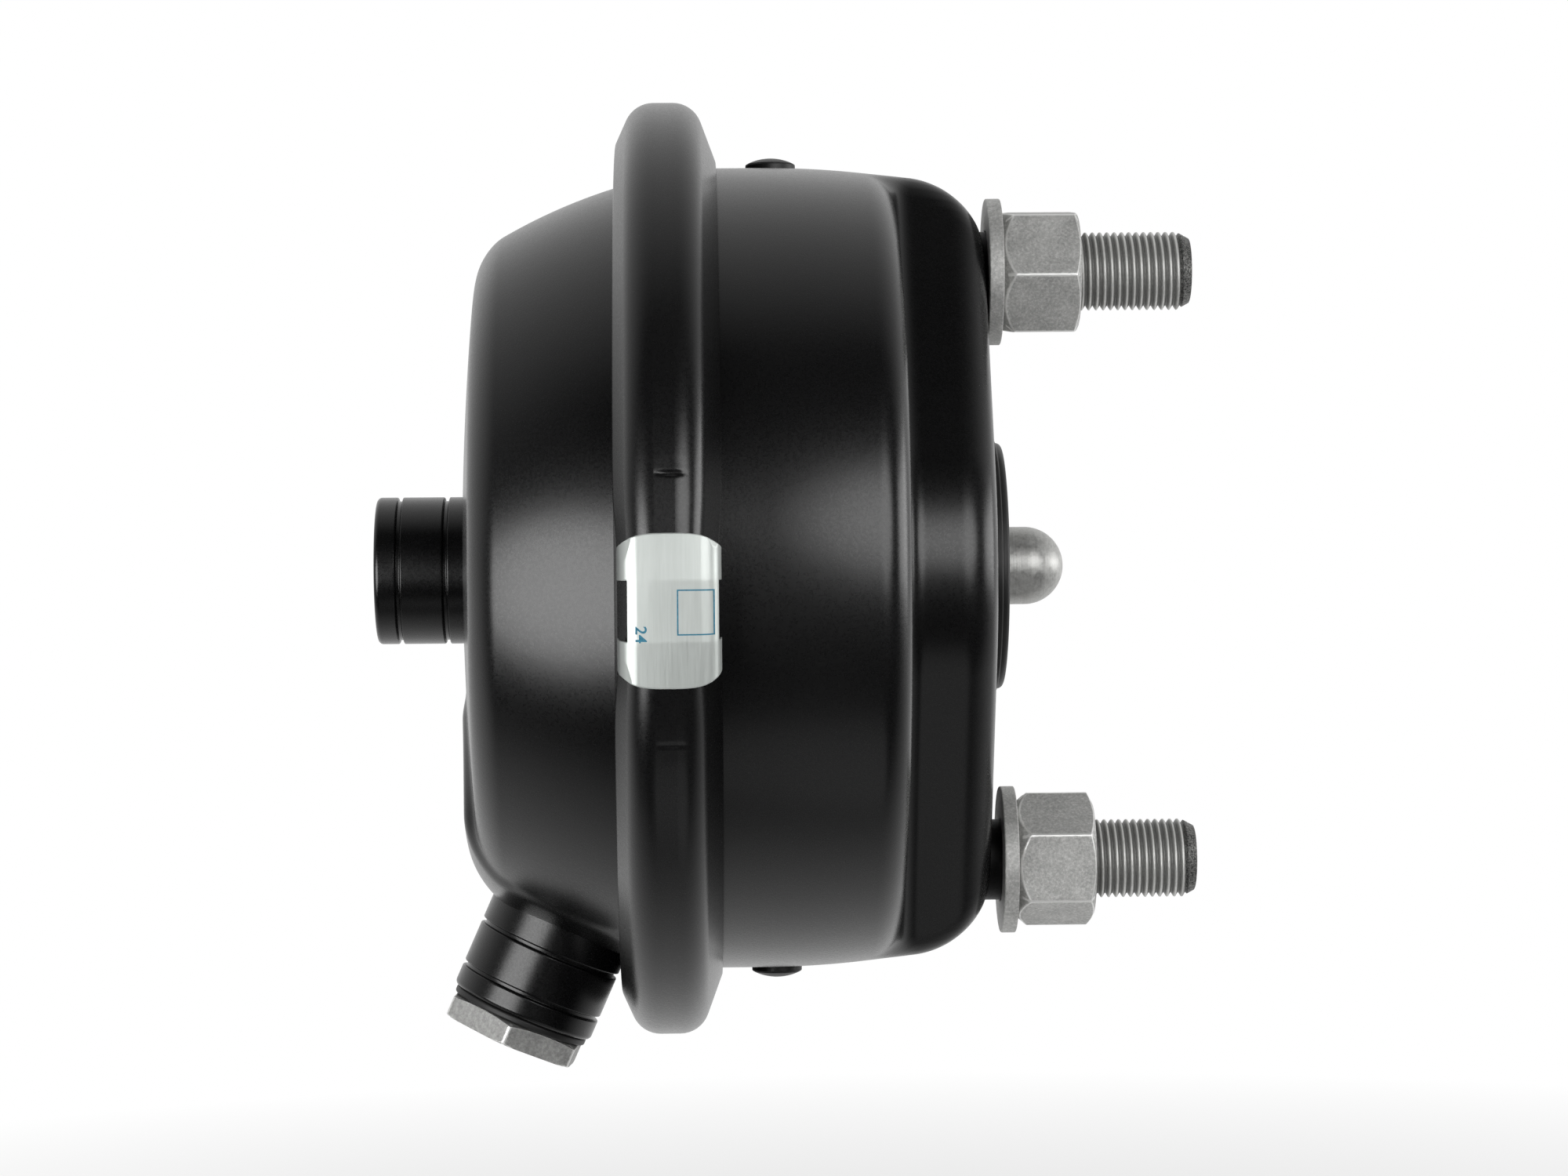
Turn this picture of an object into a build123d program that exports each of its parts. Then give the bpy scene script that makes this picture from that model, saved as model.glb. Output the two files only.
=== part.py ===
"""Air brake chamber, size 24, for a disc brake.

Frame: origin on the chamber axis in the mounting face, +X towards the push rod's tip,
+Z up through the upper stud. Lengths are in mm, radii are from the chamber axis unless
a piece has an axis of its own.
"""
from build123d import *
import os
from math import cos, pi, radians, sin, sqrt, tan

os.makedirs("parts", exist_ok=True)

# ---- driving sizes -------------------------------------------------------------------
WALL = 3.0                 # pressed sheet of cap and can
SEAT = 0.4                 # play between neighbours that don't bear on each other
PAST = 1.0                 # how far a cutting body runs on past what it cuts
HEX_FACE = 0.96            # bearing face of a nut or plug, as a share of its width

# mounting end
STUD_PITCH = 120.65        # distance between the two studs
STUD_R = 8.0               # M16 crest radius, on the free thread
STUD_NUT_R = 7.5           # M16 x 1.5 radius at mid thread, shared by stud and nut
STUD_SHANK_R = 8.25        # plain shank, pressed into plate and flange
STUD_TIP_X = 42.0
STUD_TIP_CHAMFER = 1.8
STUD_HEAD_R = 12.0
STUD_HEAD_T = 7.0
STUD_PLATE_T = 6.0
WASHER_R = 15.0
WASHER_BORE_R = 8.55
WASHER_T = 3.0
NUT_AF = 24.0
NUT_H = 16.0
UPPER_LIFT = 0.0           # how far the upper washer stands off the flange
LOWER_LIFT = 2.0           # the same for the lower one, whose nut is less far down
UPPER_NUT_TURN = 6.9
LOWER_NUT_TURN = 35.5

# can
CAN_R = 81.6               # outside radius beside the clamp ring
CAN_TAPER = 2.2            # how much narrower the can is where its corner begins
CAN_BEND_X = -36.0
CAN_CORNER = 16.0
CORNER_PLAY = 0.1          # keeps the corner's arc short of the taper's end
SHOULDER_X = -18.5
SHOULDER_EDGE = 4.0
FLANGE_HALF = 46.0         # raised flange, half width at the middle
FLANGE_REACH = 2.57        # from the can's side to where the flange's two arcs meet
FLANGE_EDGE = 12.0
FLANGE_WALL = 0.5          # straight run between the flange's edge and foot roundings
FLANGE_SKIM = 0.05         # how far the can's own corner reaches past the flange's face
MOUTH_R = 22.0             # hole in the flange for rod and bellows
VENT_X = -43.9
VENT_R = 3.0
VENT_HEAD_R = 5.0
VENT_HEAD_H = 1.0
VENT_DOME_H = 1.3

# rims and clamp ring
RIM_X = -65.6              # middle of the clamped bead
RIM_H = 8.9                # rims' reach beyond the can's side
RIM_T = 3.0
RIM_TILT = 16.0            # slope of the rims' outer faces, in degrees
BEAD_T = 4.0
BEAD_INSET = 0.5           # from the rims' edge to the diaphragm's edge
RING_T = 2.55              # clamp ring's thickness at its crown
RING_HALF = 9.8
RING_CORNER = 8.5
RING_ROOM = 1.8            # gap between rims and crown
RING_CAN_GAP = 0.5         # between the ring's leg and the can
RING_CAP_GAP = 0.7         # between its other leg and the cap
TAG_T = 0.6                # bright clip over the ring
TAG_HALF = 14.3
TAG_NOTCH_HALF = 4.6
TAG_NOTCH_DROP = 2.95      # from the ring's crown to the notches' floor
TAG_DROP = 9.85            # from the ring's crown to the clip's edges
TAG_Z = -8.3

# cap
CAP_STEP = 3.4             # how much narrower the cap is than the can
CAP_BEND_X = -88.1
CAP_BEND_DROP = 4.4        # drops are measured inwards from the cap's side
CAP_BEND_ROUND = 50.0
CAP_EDGE_X = -103.1
CAP_EDGE_DROP = 13.0
CAP_EDGE = 7.0
CAP_CROWN_X = -105.9
CAP_CROWN_DROP = 44.2
CAP_CROWN_ROUND = 400.0
CAP_BACK_X = -106.8
PAD_X = -106.4             # fuller corner round the angled port
PAD_DROP = 13.2
PAD_EDGE = 9.0
PAD_FOOT_X = -90.0
PAD_HALF = 29.0
PAD_TOP_Z = -22.0
PAD_TOP_ROUND = 23.2

# ports
PORT_BORE_R = 7.25         # M16 x 1.5 core
PORT_R = 15.0
PORT_H = 18.6
PORT_SINK = 9.0            # how far the boss is drawn below its foot before it is cut
PORT_CUTS = (4.3, 13.8)    # grooves, from the foot to each one's middle
PORT_CUT_W = 1.6
PORT_CUT_D = 1.0
PORT_CHAMFER = 0.8
AXIAL_FOOT_X = -106.2
ANGLED_TILT = 24.0         # from straight down towards the back
ANGLED_FOOT_X = -88.6
ANGLED_FOOT_DROP = 4.8
SEAL_R = 14.3
SEAL_T = 1.5
PLUG_AF = 27.0
PLUG_H = 5.1
PLUG_SHANK = 12.0
PLUG_TURN = 4.0

# rod, plate, spring and rubber
ROD_R = 7.94
ROD_TIP_X = 15.5
PLATE_X = -96.0
PLATE_DROP = 8.2           # from the cap's edge in to the plate's rim
PLATE_EDGE = 2.8
PLATE_T = 4.0
PLATE_HUB_R = 14.0
PLATE_HUB_H = 6.0
PLATE_HUB_EDGE = 2.0
SKIN_T = 3.0
SKIN_GAP = 0.9             # diaphragm to cap
SKIN_EASE = 0.5            # further room beside the cap's side
SKIN_RUN = 3.0             # flat run of the skin behind its bead
SKIN_CORNER = 4.0
SKIN_CORNER_IN = 1.5
SKIN_CORNER_GAP = 2.0      # further room at the cap's corner
WIRE = 4.8
SPRING_R_FLANGE = 33.0
SPRING_DROP = 8.0          # from the plate's rim in to the wide coil
SPRING_TURNS = 4.5
SPRING_FLAT = 0.75         # turns of flat end coil at each end
SPRING_PLAY = 0.12
SPRING_STEPS = 16          # straight runs in each turn
WIRE_SIDES = 12
CUP_T = 1.5
CUP_GAP = 1.0              # round the bellows' keeper
CUP_PLAY = 0.6             # round the spring's narrow coil
CUP_H = 5.0
LIP_R = 26.0               # sealing ring
LIP_STEP_R = 25.2
LIP_H = 2.8
LIP_EDGE = 1.0
LIP_STEP = 1.4
LIP_BORE_R = 18.7
BELLOWS_R = 19.5
BELLOWS_ROOT_R = 12.5
BELLOWS_T = 1.4
BELLOWS_FOLDS = 8
FOLD_RUN = 4.0             # from the bellows' flat ring to the first fold
BELLOWS_FLANGE_T = 2.0
NECK_T = 1.5
NECK_W = 4.0
NECK_GAP = 1.0             # from the push plate's hub
CLIP_W = 2.2
CLIP_T = 1.4
KEEPER_T = 2.5

STUD_Z = STUD_PITCH / 2
KEEPER_R = LIP_R
CUP_IN_R = KEEPER_R + CUP_GAP
CUP_R = SPRING_R_FLANGE + WIRE / 2 + CUP_PLAY + CUP_T
CAN_SHOULDER_R = CAN_R - CAN_TAPER
FLANGE_FOOT = -SHOULDER_X - FLANGE_EDGE - FLANGE_WALL
FLANGE_TIP_Z = CAN_R + FLANGE_REACH
FLANGE_ARC_R = (FLANGE_HALF**2 + FLANGE_TIP_Z**2) / (2 * FLANGE_HALF)
RIM_R = CAN_R + RIM_H
BEAD_R = RIM_R - BEAD_INSET
RING_R = RIM_R + RING_ROOM + RING_T
RING_CAN_R = CAN_R + RING_CAN_GAP
TAG_NOTCH_R = RING_R - TAG_NOTCH_DROP
TAG_EDGE_R = RING_R - TAG_DROP
CAP_R = CAN_R - CAP_STEP
RING_CAP_R = CAP_R + RING_CAP_GAP
CAP_BEND_R = CAP_R - CAP_BEND_DROP
CAP_EDGE_R = CAP_R - CAP_EDGE_DROP
CAP_CROWN_R = CAP_R - CAP_CROWN_DROP
PAD_R = CAP_R - PAD_DROP
PLATE_R = CAP_EDGE_R - PLATE_DROP
SPRING_R_PLATE = PLATE_R - SPRING_DROP
ANGLED_FOOT_Z = ANGLED_FOOT_DROP - CAP_R
INSIDE_X = -WALL - STUD_PLATE_T
PLATE_FRONT_X = PLATE_X + PLATE_T
CUP_FACE_X = INSIDE_X - CUP_T


# ---- helpers -------------------------------------------------------------------------
def turned(points, corners=()):
    """Body of revolution about X from (x, r) points; corners lists (x, r, rounding)."""
    face = make_face(Polyline(*points, close=True))
    for x, r, radius in corners:
        corner = face.vertices().sort_by_distance((x, r, 0))[0]
        face = fillet(corner, radius)
    return revolve(face, Axis.X)


def bar(radius, low, high):
    """Round bar along Z."""
    return Pos(0, 0, (low + high) / 2) * Cylinder(radius, high - low)


def along_x(x, z=0):
    """Place that turns a piece's own Z into +X."""
    return Pos(x, 0, z) * Rot(0, 90, 0)


def hex_bar(across, low, high, turn):
    """Hexagonal bar along Z with both ends turned to a cone; at turn 0 a corner faces -Y."""
    reach = across / sqrt(3)
    face = Rot(0, 0, 30 + turn) * RegularPolygon(reach, 6)
    body = extrude(Pos(0, 0, low) * face, high - low)
    flat = across / 2 * HEX_FACE
    drop = (reach - flat) * tan(radians(30))
    length = high - low
    cone = turned(
        [(0, 0), (0, flat), (drop, reach), (length - drop, reach), (length, flat), (length, 0)]
    )
    return body & (Pos(0, 0, low) * Rot(0, -90, 0) * cone)


def rim_face(side, radius):
    """X of a rim's sloping outer face at a radius; side is +1 on the can, -1 on the cap."""
    slope = tan(radians(RIM_TILT))
    return RIM_X + side * (BEAD_T / 2 + RIM_T + (RIM_R - radius) * slope)


# ---- can with its raised flange ------------------------------------------------------
def cheek(inset, side):
    """Body about an axis off to one side, whose edge is one side of the raised flange."""
    wall = FLANGE_ARC_R - inset
    foot = FLANGE_ARC_R + FLANGE_FOOT + PAST
    level = SHOULDER_X - inset
    back = RIM_X - PAST
    body = turned(
        [(back, 0), (back, foot), (level, foot), (level, wall), (-inset, wall), (-inset, 0)],
        [(level, wall, FLANGE_FOOT + inset), (-inset, wall, FLANGE_EDGE - inset)],
    )
    return Pos(0, side * (FLANGE_HALF - FLANGE_ARC_R), 0) * body


def side_wall(inset):
    """Profile points of the can's side, from its axis out and forwards to its bend."""
    return [(RIM_X, 0), (RIM_X, CAN_R - inset), (CAN_BEND_X, CAN_R - inset)]


def raised_shape(inset):
    """Body of the raised flange, which reaches back through the whole can."""
    edge_r, front = CAN_SHOULDER_R - inset, FLANGE_SKIM - inset
    full = turned(
        side_wall(inset) + [(-CAN_CORNER, edge_r), (front, edge_r), (front, 0)],
        [(front, edge_r, CAN_CORNER - inset - CORNER_PLAY)],
    )
    return full & cheek(inset, 1) & cheek(inset, -1)


def can_shape(inset):
    """Solid outside of the can with its raised flange, moved inwards by inset."""
    edge_r = CAN_SHOULDER_R - inset
    level = SHOULDER_X - inset
    taper = (CAN_R - CAN_SHOULDER_R) / (-CAN_CORNER - CAN_BEND_X)
    level_r = edge_r + taper * (-CAN_CORNER - level)
    drum = turned(
        side_wall(inset) + [(level, level_r), (level, 0)], [(level, level_r, SHOULDER_EDGE)]
    )
    return drum + raised_shape(inset)


def rim(side, inner_r):
    """Rim that the clamp ring grips, from inner_r outwards."""
    face = RIM_X + side * BEAD_T / 2
    return turned(
        [(face, inner_r), (face, RIM_R), (rim_face(side, RIM_R), RIM_R),
         (rim_face(side, inner_r), inner_r)]
    )


def beyond_bead(side):
    """Everything on the far side of a rim's clamping face."""
    face = RIM_X + side * BEAD_T / 2
    depth = 4 * BEAD_T
    return along_x(face - side * depth / 2) * Cylinder(RIM_R + BEAD_T, depth)


CAN_SOLID = can_shape(0)


def non_pressure_housing():
    body = CAN_SOLID + rim(1, CAN_R - WALL) - can_shape(WALL) - beyond_bead(1)
    body -= along_x(0) * Cylinder(MOUTH_R, 4 * WALL)
    for side in (1, -1):
        body -= along_x(0, side * STUD_Z) * Cylinder(STUD_SHANK_R, 4 * WALL)
        body -= Pos(VENT_X, 0, side * CAN_R) * Cylinder(VENT_R, 4 * WALL)
    return body


def vent_plug(side):
    """Domed rubber plug with a short stem in the can's wall."""
    top = CAN_R + VENT_HEAD_H
    ball_r = (VENT_HEAD_R**2 + VENT_DOME_H**2) / (2 * VENT_DOME_H)
    ball = Pos(0, 0, top + VENT_DOME_H - ball_r) * Sphere(ball_r)
    head = bar(VENT_HEAD_R, CAN_R - WALL / 2, top + VENT_DOME_H) & ball
    place = Pos(VENT_X, 0, 0) * Rot(90 - side * 90, 0, 0)
    return (place * head - CAN_SOLID) + place * bar(VENT_R, CAN_R - WALL - VENT_DOME_H, top)


def stud_plate():
    """Thick plate that fills the flange from inside and carries both studs."""
    slab = along_x(INSIDE_X / 2) * Cylinder(CAN_R, -INSIDE_X)
    body = (Pos(SEAT, 0, 0) * raised_shape(WALL + SEAT)) & slab
    body -= along_x(-WALL) * Cylinder(KEEPER_R, 4 * STUD_PLATE_T)
    for side in (1, -1):
        body -= along_x(-WALL, side * STUD_Z) * Cylinder(STUD_SHANK_R, 4 * STUD_PLATE_T)
    return body


# ---- studs, washers, nuts ------------------------------------------------------------
def stud(side, lift):
    """Stud with a round head inside, a plain shank, the threaded length and a chamfered end."""
    shank_end = lift + WASHER_T
    nut_end = shank_end + NUT_H
    body = turned(
        [(INSIDE_X - STUD_HEAD_T, 0), (INSIDE_X - STUD_HEAD_T, STUD_HEAD_R),
         (INSIDE_X, STUD_HEAD_R), (INSIDE_X, STUD_SHANK_R), (shank_end, STUD_SHANK_R),
         (shank_end, STUD_NUT_R), (nut_end, STUD_NUT_R), (nut_end, STUD_R),
         (STUD_TIP_X - STUD_TIP_CHAMFER, STUD_R), (STUD_TIP_X, STUD_R - STUD_TIP_CHAMFER),
         (STUD_TIP_X, 0)]
    )
    return Pos(0, 0, side * STUD_Z) * body


def washer(side, lift):
    body = bar(WASHER_R, lift, lift + WASHER_T) - bar(WASHER_BORE_R, lift - PAST, lift + WASHER_T + PAST)
    return along_x(0, side * STUD_Z) * body


def nut(side, lift, turn):
    low = lift + WASHER_T
    body = hex_bar(NUT_AF, low, low + NUT_H, turn) - bar(STUD_NUT_R, low - PAST, low + NUT_H + PAST)
    return along_x(0, side * STUD_Z) * body


# ---- cap -----------------------------------------------------------------------------
def cap_shape(inset):
    """Solid outside of the cap, moved inwards by inset."""
    side_r, bend_r = CAP_R - inset, CAP_BEND_R - inset
    edge = (CAP_EDGE_X + inset, CAP_EDGE_R - inset)
    crown = (CAP_CROWN_X + inset, CAP_CROWN_R)
    back = CAP_BACK_X + inset
    return turned(
        [(RIM_X, 0), (RIM_X, side_r), (rim_face(-1, CAP_R), side_r), (CAP_BEND_X, bend_r),
         edge, crown, (back, 0)],
        [(CAP_BEND_X, bend_r, CAP_BEND_ROUND), (*edge, CAP_EDGE - inset),
         (*crown, CAP_CROWN_ROUND)],
    )


def cap_pad():
    """Fuller corner under the angled port."""
    full = turned(
        [(RIM_X, 0), (RIM_X, CAP_BEND_R - WALL / 2), (PAD_FOOT_X, CAP_BEND_R - WALL / 2),
         (PAD_X, PAD_R), (PAD_X, 0)],
        [(PAD_X, PAD_R, PAD_EDGE)],
    )
    block = Pos(PAD_X, 0, PAD_TOP_Z - CAP_R / 2) * Box(4 * PAD_HALF, 2 * PAD_HALF, CAP_R)
    return full & fillet(block.edges().filter_by(Axis.X).group_by(Axis.Z)[-1], PAD_TOP_ROUND)


CAP_SOLID = cap_shape(0) + cap_pad()


def port_place(angled):
    """Foot of a port boss, its own Z pointing out of the cap."""
    if not angled:
        return Pos(AXIAL_FOOT_X, 0, 0) * Rot(0, -90, 0)
    return Pos(ANGLED_FOOT_X, 0, ANGLED_FOOT_Z) * Rot(0, 180 + ANGLED_TILT, 0)


def pressure_housing():
    body = CAP_SOLID + rim(-1, CAP_R - WALL) - cap_shape(WALL) - beyond_bead(-1)
    for angled in (False, True):
        body -= port_place(angled) * Cylinder(PORT_BORE_R, 2 * (PORT_H + PORT_SINK))
    return body


def port_boss(angled):
    """Round boss with two grooves and a threaded bore, its foot cut to the cap."""
    body = bar(PORT_R, -PORT_SINK, PORT_H) - bar(PORT_BORE_R, -PORT_SINK - PAST, PORT_H + PAST)
    for height in PORT_CUTS:
        low, high = height - PORT_CUT_W / 2, height + PORT_CUT_W / 2
        body -= bar(PORT_R + PAST, low, high) - bar(PORT_R - PORT_CUT_D, low, high)
    ends = body.edges().filter_by(GeomType.CIRCLE).group_by(Axis.Z)[-1]
    body = chamfer(ends, PORT_CHAMFER)
    return port_place(angled) * body - CAP_SOLID - ring_room()


def port_plug():
    top = PORT_H + SEAL_T
    head = hex_bar(PLUG_AF, top, top + PLUG_H, PLUG_TURN)
    return port_place(True) * (head + bar(PORT_BORE_R, top - PLUG_SHANK, top + PLUG_H / 2))


def port_plug_seal():
    ring = bar(SEAL_R, PORT_H, PORT_H + SEAL_T) - bar(PORT_BORE_R, PORT_H - PAST, PORT_H + SEAL_T + PAST)
    return port_place(True) * ring


# ---- clamp ring and its clip ---------------------------------------------------------
def ring_solid(extra):
    """Outside of the clamp ring down to the legs' edges, grown by extra."""
    half, top, round_r = RING_HALF + extra, RING_R + extra, RING_CORNER + extra
    low, high = RIM_X - half, RIM_X + half
    return turned(
        [(low, RING_CAP_R), (low, top), (high, top), (high, RING_CAN_R)],
        [(low, top, round_r), (high, top, round_r)],
    )


def ring_room():
    """Space that a port boss must leave for the clamp ring."""
    low, high = RIM_X - RING_HALF - SEAT, RIM_X
    return turned([(low, CAP_R), (low, RING_R), (high, RING_R), (high, CAP_R)])


def clamp_ring():
    crown = RIM_R + RING_ROOM
    low_r, high_r = RING_CAP_R - PAST, RING_CAN_R - PAST
    groove = turned(
        [(rim_face(-1, low_r), low_r), (rim_face(-1, crown), crown),
         (rim_face(1, crown), crown), (rim_face(1, high_r), high_r)]
    )
    return ring_solid(0) - groove


def rating_plate():
    """Thin bright clip bent over the ring's crown, its legs notched in the middle."""
    sheet = ring_solid(TAG_T) - ring_solid(0)
    middle = Pos(RIM_X, -RING_R, TAG_Z)
    sheet &= middle * Box(4 * RING_HALF, 2 * (RING_R - TAG_EDGE_R), 2 * TAG_HALF)
    for side in (1, -1):
        notch_x = RIM_X + side * 2 * RING_HALF
        depth = 2 * (RING_R - TAG_NOTCH_R)
        notch = Pos(notch_x, -RING_R + RING_HALF + depth / 2, TAG_Z)
        sheet -= notch * Box(4 * RING_HALF, 2 * RING_HALF, 2 * TAG_NOTCH_HALF)
    return sheet


# ---- rod and push plate --------------------------------------------------------------
def push_rod():
    ball_x = ROD_TIP_X - ROD_R
    body = along_x((PLATE_X + ball_x) / 2) * Cylinder(ROD_R, ball_x - PLATE_X)
    return body + Pos(ball_x, 0, 0) * Sphere(ROD_R)


def push_plate():
    hub = PLATE_FRONT_X + PLATE_HUB_H
    return turned(
        [(PLATE_X, ROD_R), (PLATE_X, PLATE_R), (PLATE_FRONT_X, PLATE_R),
         (PLATE_FRONT_X, PLATE_HUB_R), (hub, PLATE_HUB_R), (hub, ROD_R)],
        [(PLATE_X, PLATE_R, PLATE_EDGE), (hub, PLATE_HUB_R, PLATE_HUB_EDGE)],
    )


# ---- diaphragm, spring, bellows, seals -----------------------------------------------
def diaphragm():
    """Rubber skin: bead between the rims, sloping wall along the cap, disc behind the plate."""
    near, far = RIM_X + BEAD_T / 2, RIM_X - BEAD_T / 2
    lift = WALL + SKIN_GAP
    side_r, bend_r = CAP_R - lift - SKIN_EASE, CAP_BEND_R - lift - SKIN_EASE
    outer = [(far - SKIN_RUN, side_r), (CAP_BEND_X, bend_r)]
    back = PLATE_X - SKIN_T
    inner = [(x + SKIN_EASE, r - SKIN_T) for x, r in outer]
    corner_r = CAP_EDGE_R - lift - SKIN_CORNER_GAP
    corner_in_r = corner_r - SKIN_T / 2
    return turned(
        [(near, CAN_R - WALL), (near, BEAD_R), (far, BEAD_R), (far, CAP_R - WALL)]
        + outer
        + [(back, corner_r), (back, 0), (PLATE_X, 0), (PLATE_X, corner_in_r)]
        + inner[::-1],
        [(back, corner_r, SKIN_CORNER), (PLATE_X, corner_in_r, SKIN_CORNER_IN)],
    )


def coil_point(turns):
    """Middle of the spring's wire after some turns from its wide end."""
    start = PLATE_FRONT_X + WIRE / 2 + SPRING_PLAY
    end = CUP_FACE_X - WIRE / 2 - SPRING_PLAY
    share = min(1, max(0, (turns - SPRING_FLAT) / SPRING_TURNS))
    radius = SPRING_R_PLATE + (SPRING_R_FLANGE - SPRING_R_PLATE) * share
    angle = 2 * pi * turns
    return Vector(start + (end - start) * share, radius * cos(angle), radius * sin(angle))


def return_spring():
    """Conical wire spring with flat end coils, wide end on the push plate."""
    total = SPRING_TURNS + 2 * SPRING_FLAT
    steps = round(total * SPRING_STEPS)
    sections = []
    for i in range(steps + 1):
        turns = total * i / steps
        ahead = coil_point(min(total, turns + 0.01)) - coil_point(max(0, turns - 0.01))
        outward = Vector(0, cos(2 * pi * turns), sin(2 * pi * turns))
        place = Plane(coil_point(turns), x_dir=outward, z_dir=ahead)
        sections.append(place * RegularPolygon(WIRE / 2, WIRE_SIDES))
    return loft(sections, ruled=True)


def spring_seat():
    return turned(
        [(INSIDE_X, CUP_IN_R), (INSIDE_X, CUP_R), (INSIDE_X - CUP_H, CUP_R),
         (INSIDE_X - CUP_H, CUP_R - CUP_T), (CUP_FACE_X, CUP_R - CUP_T),
         (CUP_FACE_X, CUP_IN_R)]
    )


def sealing_ring():
    """Stepped rubber ring on the mounting face with a neck in the flange's hole."""
    return turned(
        [(-WALL, LIP_BORE_R), (-WALL, MOUTH_R), (0, MOUTH_R), (0, LIP_R), (LIP_STEP, LIP_R),
         (LIP_STEP, LIP_STEP_R), (LIP_H, LIP_STEP_R), (LIP_H, LIP_BORE_R)],
        [(LIP_H, LIP_STEP_R, LIP_EDGE)],
    )


def gaiter():
    """Bellows from a flat ring behind the flange's hole to a neck round the rod."""
    ring_x = -WALL - BELLOWS_FLANGE_T
    first, last = ring_x - FOLD_RUN, PLATE_FRONT_X + PLATE_HUB_H + NECK_GAP + NECK_W
    step = (last - first) / (2 * BELLOWS_FOLDS)
    outer = [(ring_x, BELLOWS_R)]
    for i in range(2 * BELLOWS_FOLDS + 1):
        outer.append((first + i * step, BELLOWS_ROOT_R if i % 2 else BELLOWS_R))
    outer[-1] = (last, BELLOWS_ROOT_R)
    inner = [(x, r - BELLOWS_T) for x, r in outer]
    neck_end = last - NECK_W
    neck_r = ROD_R + NECK_T
    return turned(
        [(-WALL, BELLOWS_R - BELLOWS_T), (-WALL, KEEPER_R - SEAT), (ring_x, KEEPER_R - SEAT)]
        + outer
        + [(last - BELLOWS_T, BELLOWS_ROOT_R), (last - BELLOWS_T, neck_r), (neck_end, neck_r),
           (neck_end, ROD_R), (last, ROD_R)]
        + inner[::-1]
    )


def gaiter_keeper():
    """Steel ring that presses the bellows' flat ring against the flange."""
    near = -WALL - BELLOWS_FLANGE_T
    return turned(
        [(near, BELLOWS_R + SEAT), (near, KEEPER_R), (near - KEEPER_T, KEEPER_R),
         (near - KEEPER_T, BELLOWS_R + SEAT)]
    )


def gaiter_clip():
    """Round clip on the bellows' neck."""
    middle = PLATE_FRONT_X + PLATE_HUB_H + NECK_GAP + (NECK_W - BELLOWS_T) / 2
    low, high = middle - CLIP_W / 2, middle + CLIP_W / 2
    inner = ROD_R + NECK_T
    return turned([(low, inner), (low, inner + CLIP_T), (high, inner + CLIP_T), (high, inner)])


PIECES = {
    "pressure_housing": pressure_housing(),
    "axial_port_boss": port_boss(False),
    "angled_port_boss": port_boss(True),
    "port_plug": port_plug(),
    "port_plug_seal": port_plug_seal(),
    "clamp_ring": clamp_ring(),
    "rating_plate": rating_plate(),
    "non_pressure_housing": non_pressure_housing(),
    "vent_plug_upper": vent_plug(1),
    "vent_plug_lower": vent_plug(-1),
    "stud_plate": stud_plate(),
    "stud_upper": stud(1, UPPER_LIFT),
    "stud_lower": stud(-1, LOWER_LIFT),
    "washer_upper": washer(1, UPPER_LIFT),
    "washer_lower": washer(-1, LOWER_LIFT),
    "nut_upper": nut(1, UPPER_LIFT, UPPER_NUT_TURN),
    "nut_lower": nut(-1, LOWER_LIFT, LOWER_NUT_TURN),
    "push_rod": push_rod(),
    "push_plate": push_plate(),
    "diaphragm": diaphragm(),
    "return_spring": return_spring(),
    "spring_seat": spring_seat(),
    "sealing_ring": sealing_ring(),
    "gaiter": gaiter(),
    "gaiter_keeper": gaiter_keeper(),
    "gaiter_clip": gaiter_clip(),
}

for name, piece in PIECES.items():
    export_step(piece, f"parts/{name}.step")
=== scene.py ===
"""Looks of a size 24 air brake chamber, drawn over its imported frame.

Shapes are worked out in millimetres in the chamber's own frame: X along the rod, Z up
through the upper stud, zero in the middle of the mounting face. MM turns them to metres.
"""
import math

import bmesh
import bpy
import numpy as np
from mathutils import Matrix, Vector


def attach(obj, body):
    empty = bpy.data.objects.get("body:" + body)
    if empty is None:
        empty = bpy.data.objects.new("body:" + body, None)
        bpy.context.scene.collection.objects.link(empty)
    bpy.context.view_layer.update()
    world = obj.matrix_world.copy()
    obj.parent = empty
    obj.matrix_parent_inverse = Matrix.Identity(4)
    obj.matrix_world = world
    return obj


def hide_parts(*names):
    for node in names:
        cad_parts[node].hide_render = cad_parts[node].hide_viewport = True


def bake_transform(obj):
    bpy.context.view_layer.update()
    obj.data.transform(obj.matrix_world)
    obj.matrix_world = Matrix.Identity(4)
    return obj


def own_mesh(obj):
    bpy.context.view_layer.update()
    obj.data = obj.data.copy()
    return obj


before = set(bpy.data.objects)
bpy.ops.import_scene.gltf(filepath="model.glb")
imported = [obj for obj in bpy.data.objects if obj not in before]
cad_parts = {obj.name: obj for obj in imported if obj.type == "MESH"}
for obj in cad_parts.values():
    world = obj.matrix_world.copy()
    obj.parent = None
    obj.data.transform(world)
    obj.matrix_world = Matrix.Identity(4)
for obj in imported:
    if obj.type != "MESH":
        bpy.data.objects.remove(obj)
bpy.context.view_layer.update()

MM = 0.001
TAU = 2 * math.pi

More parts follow.
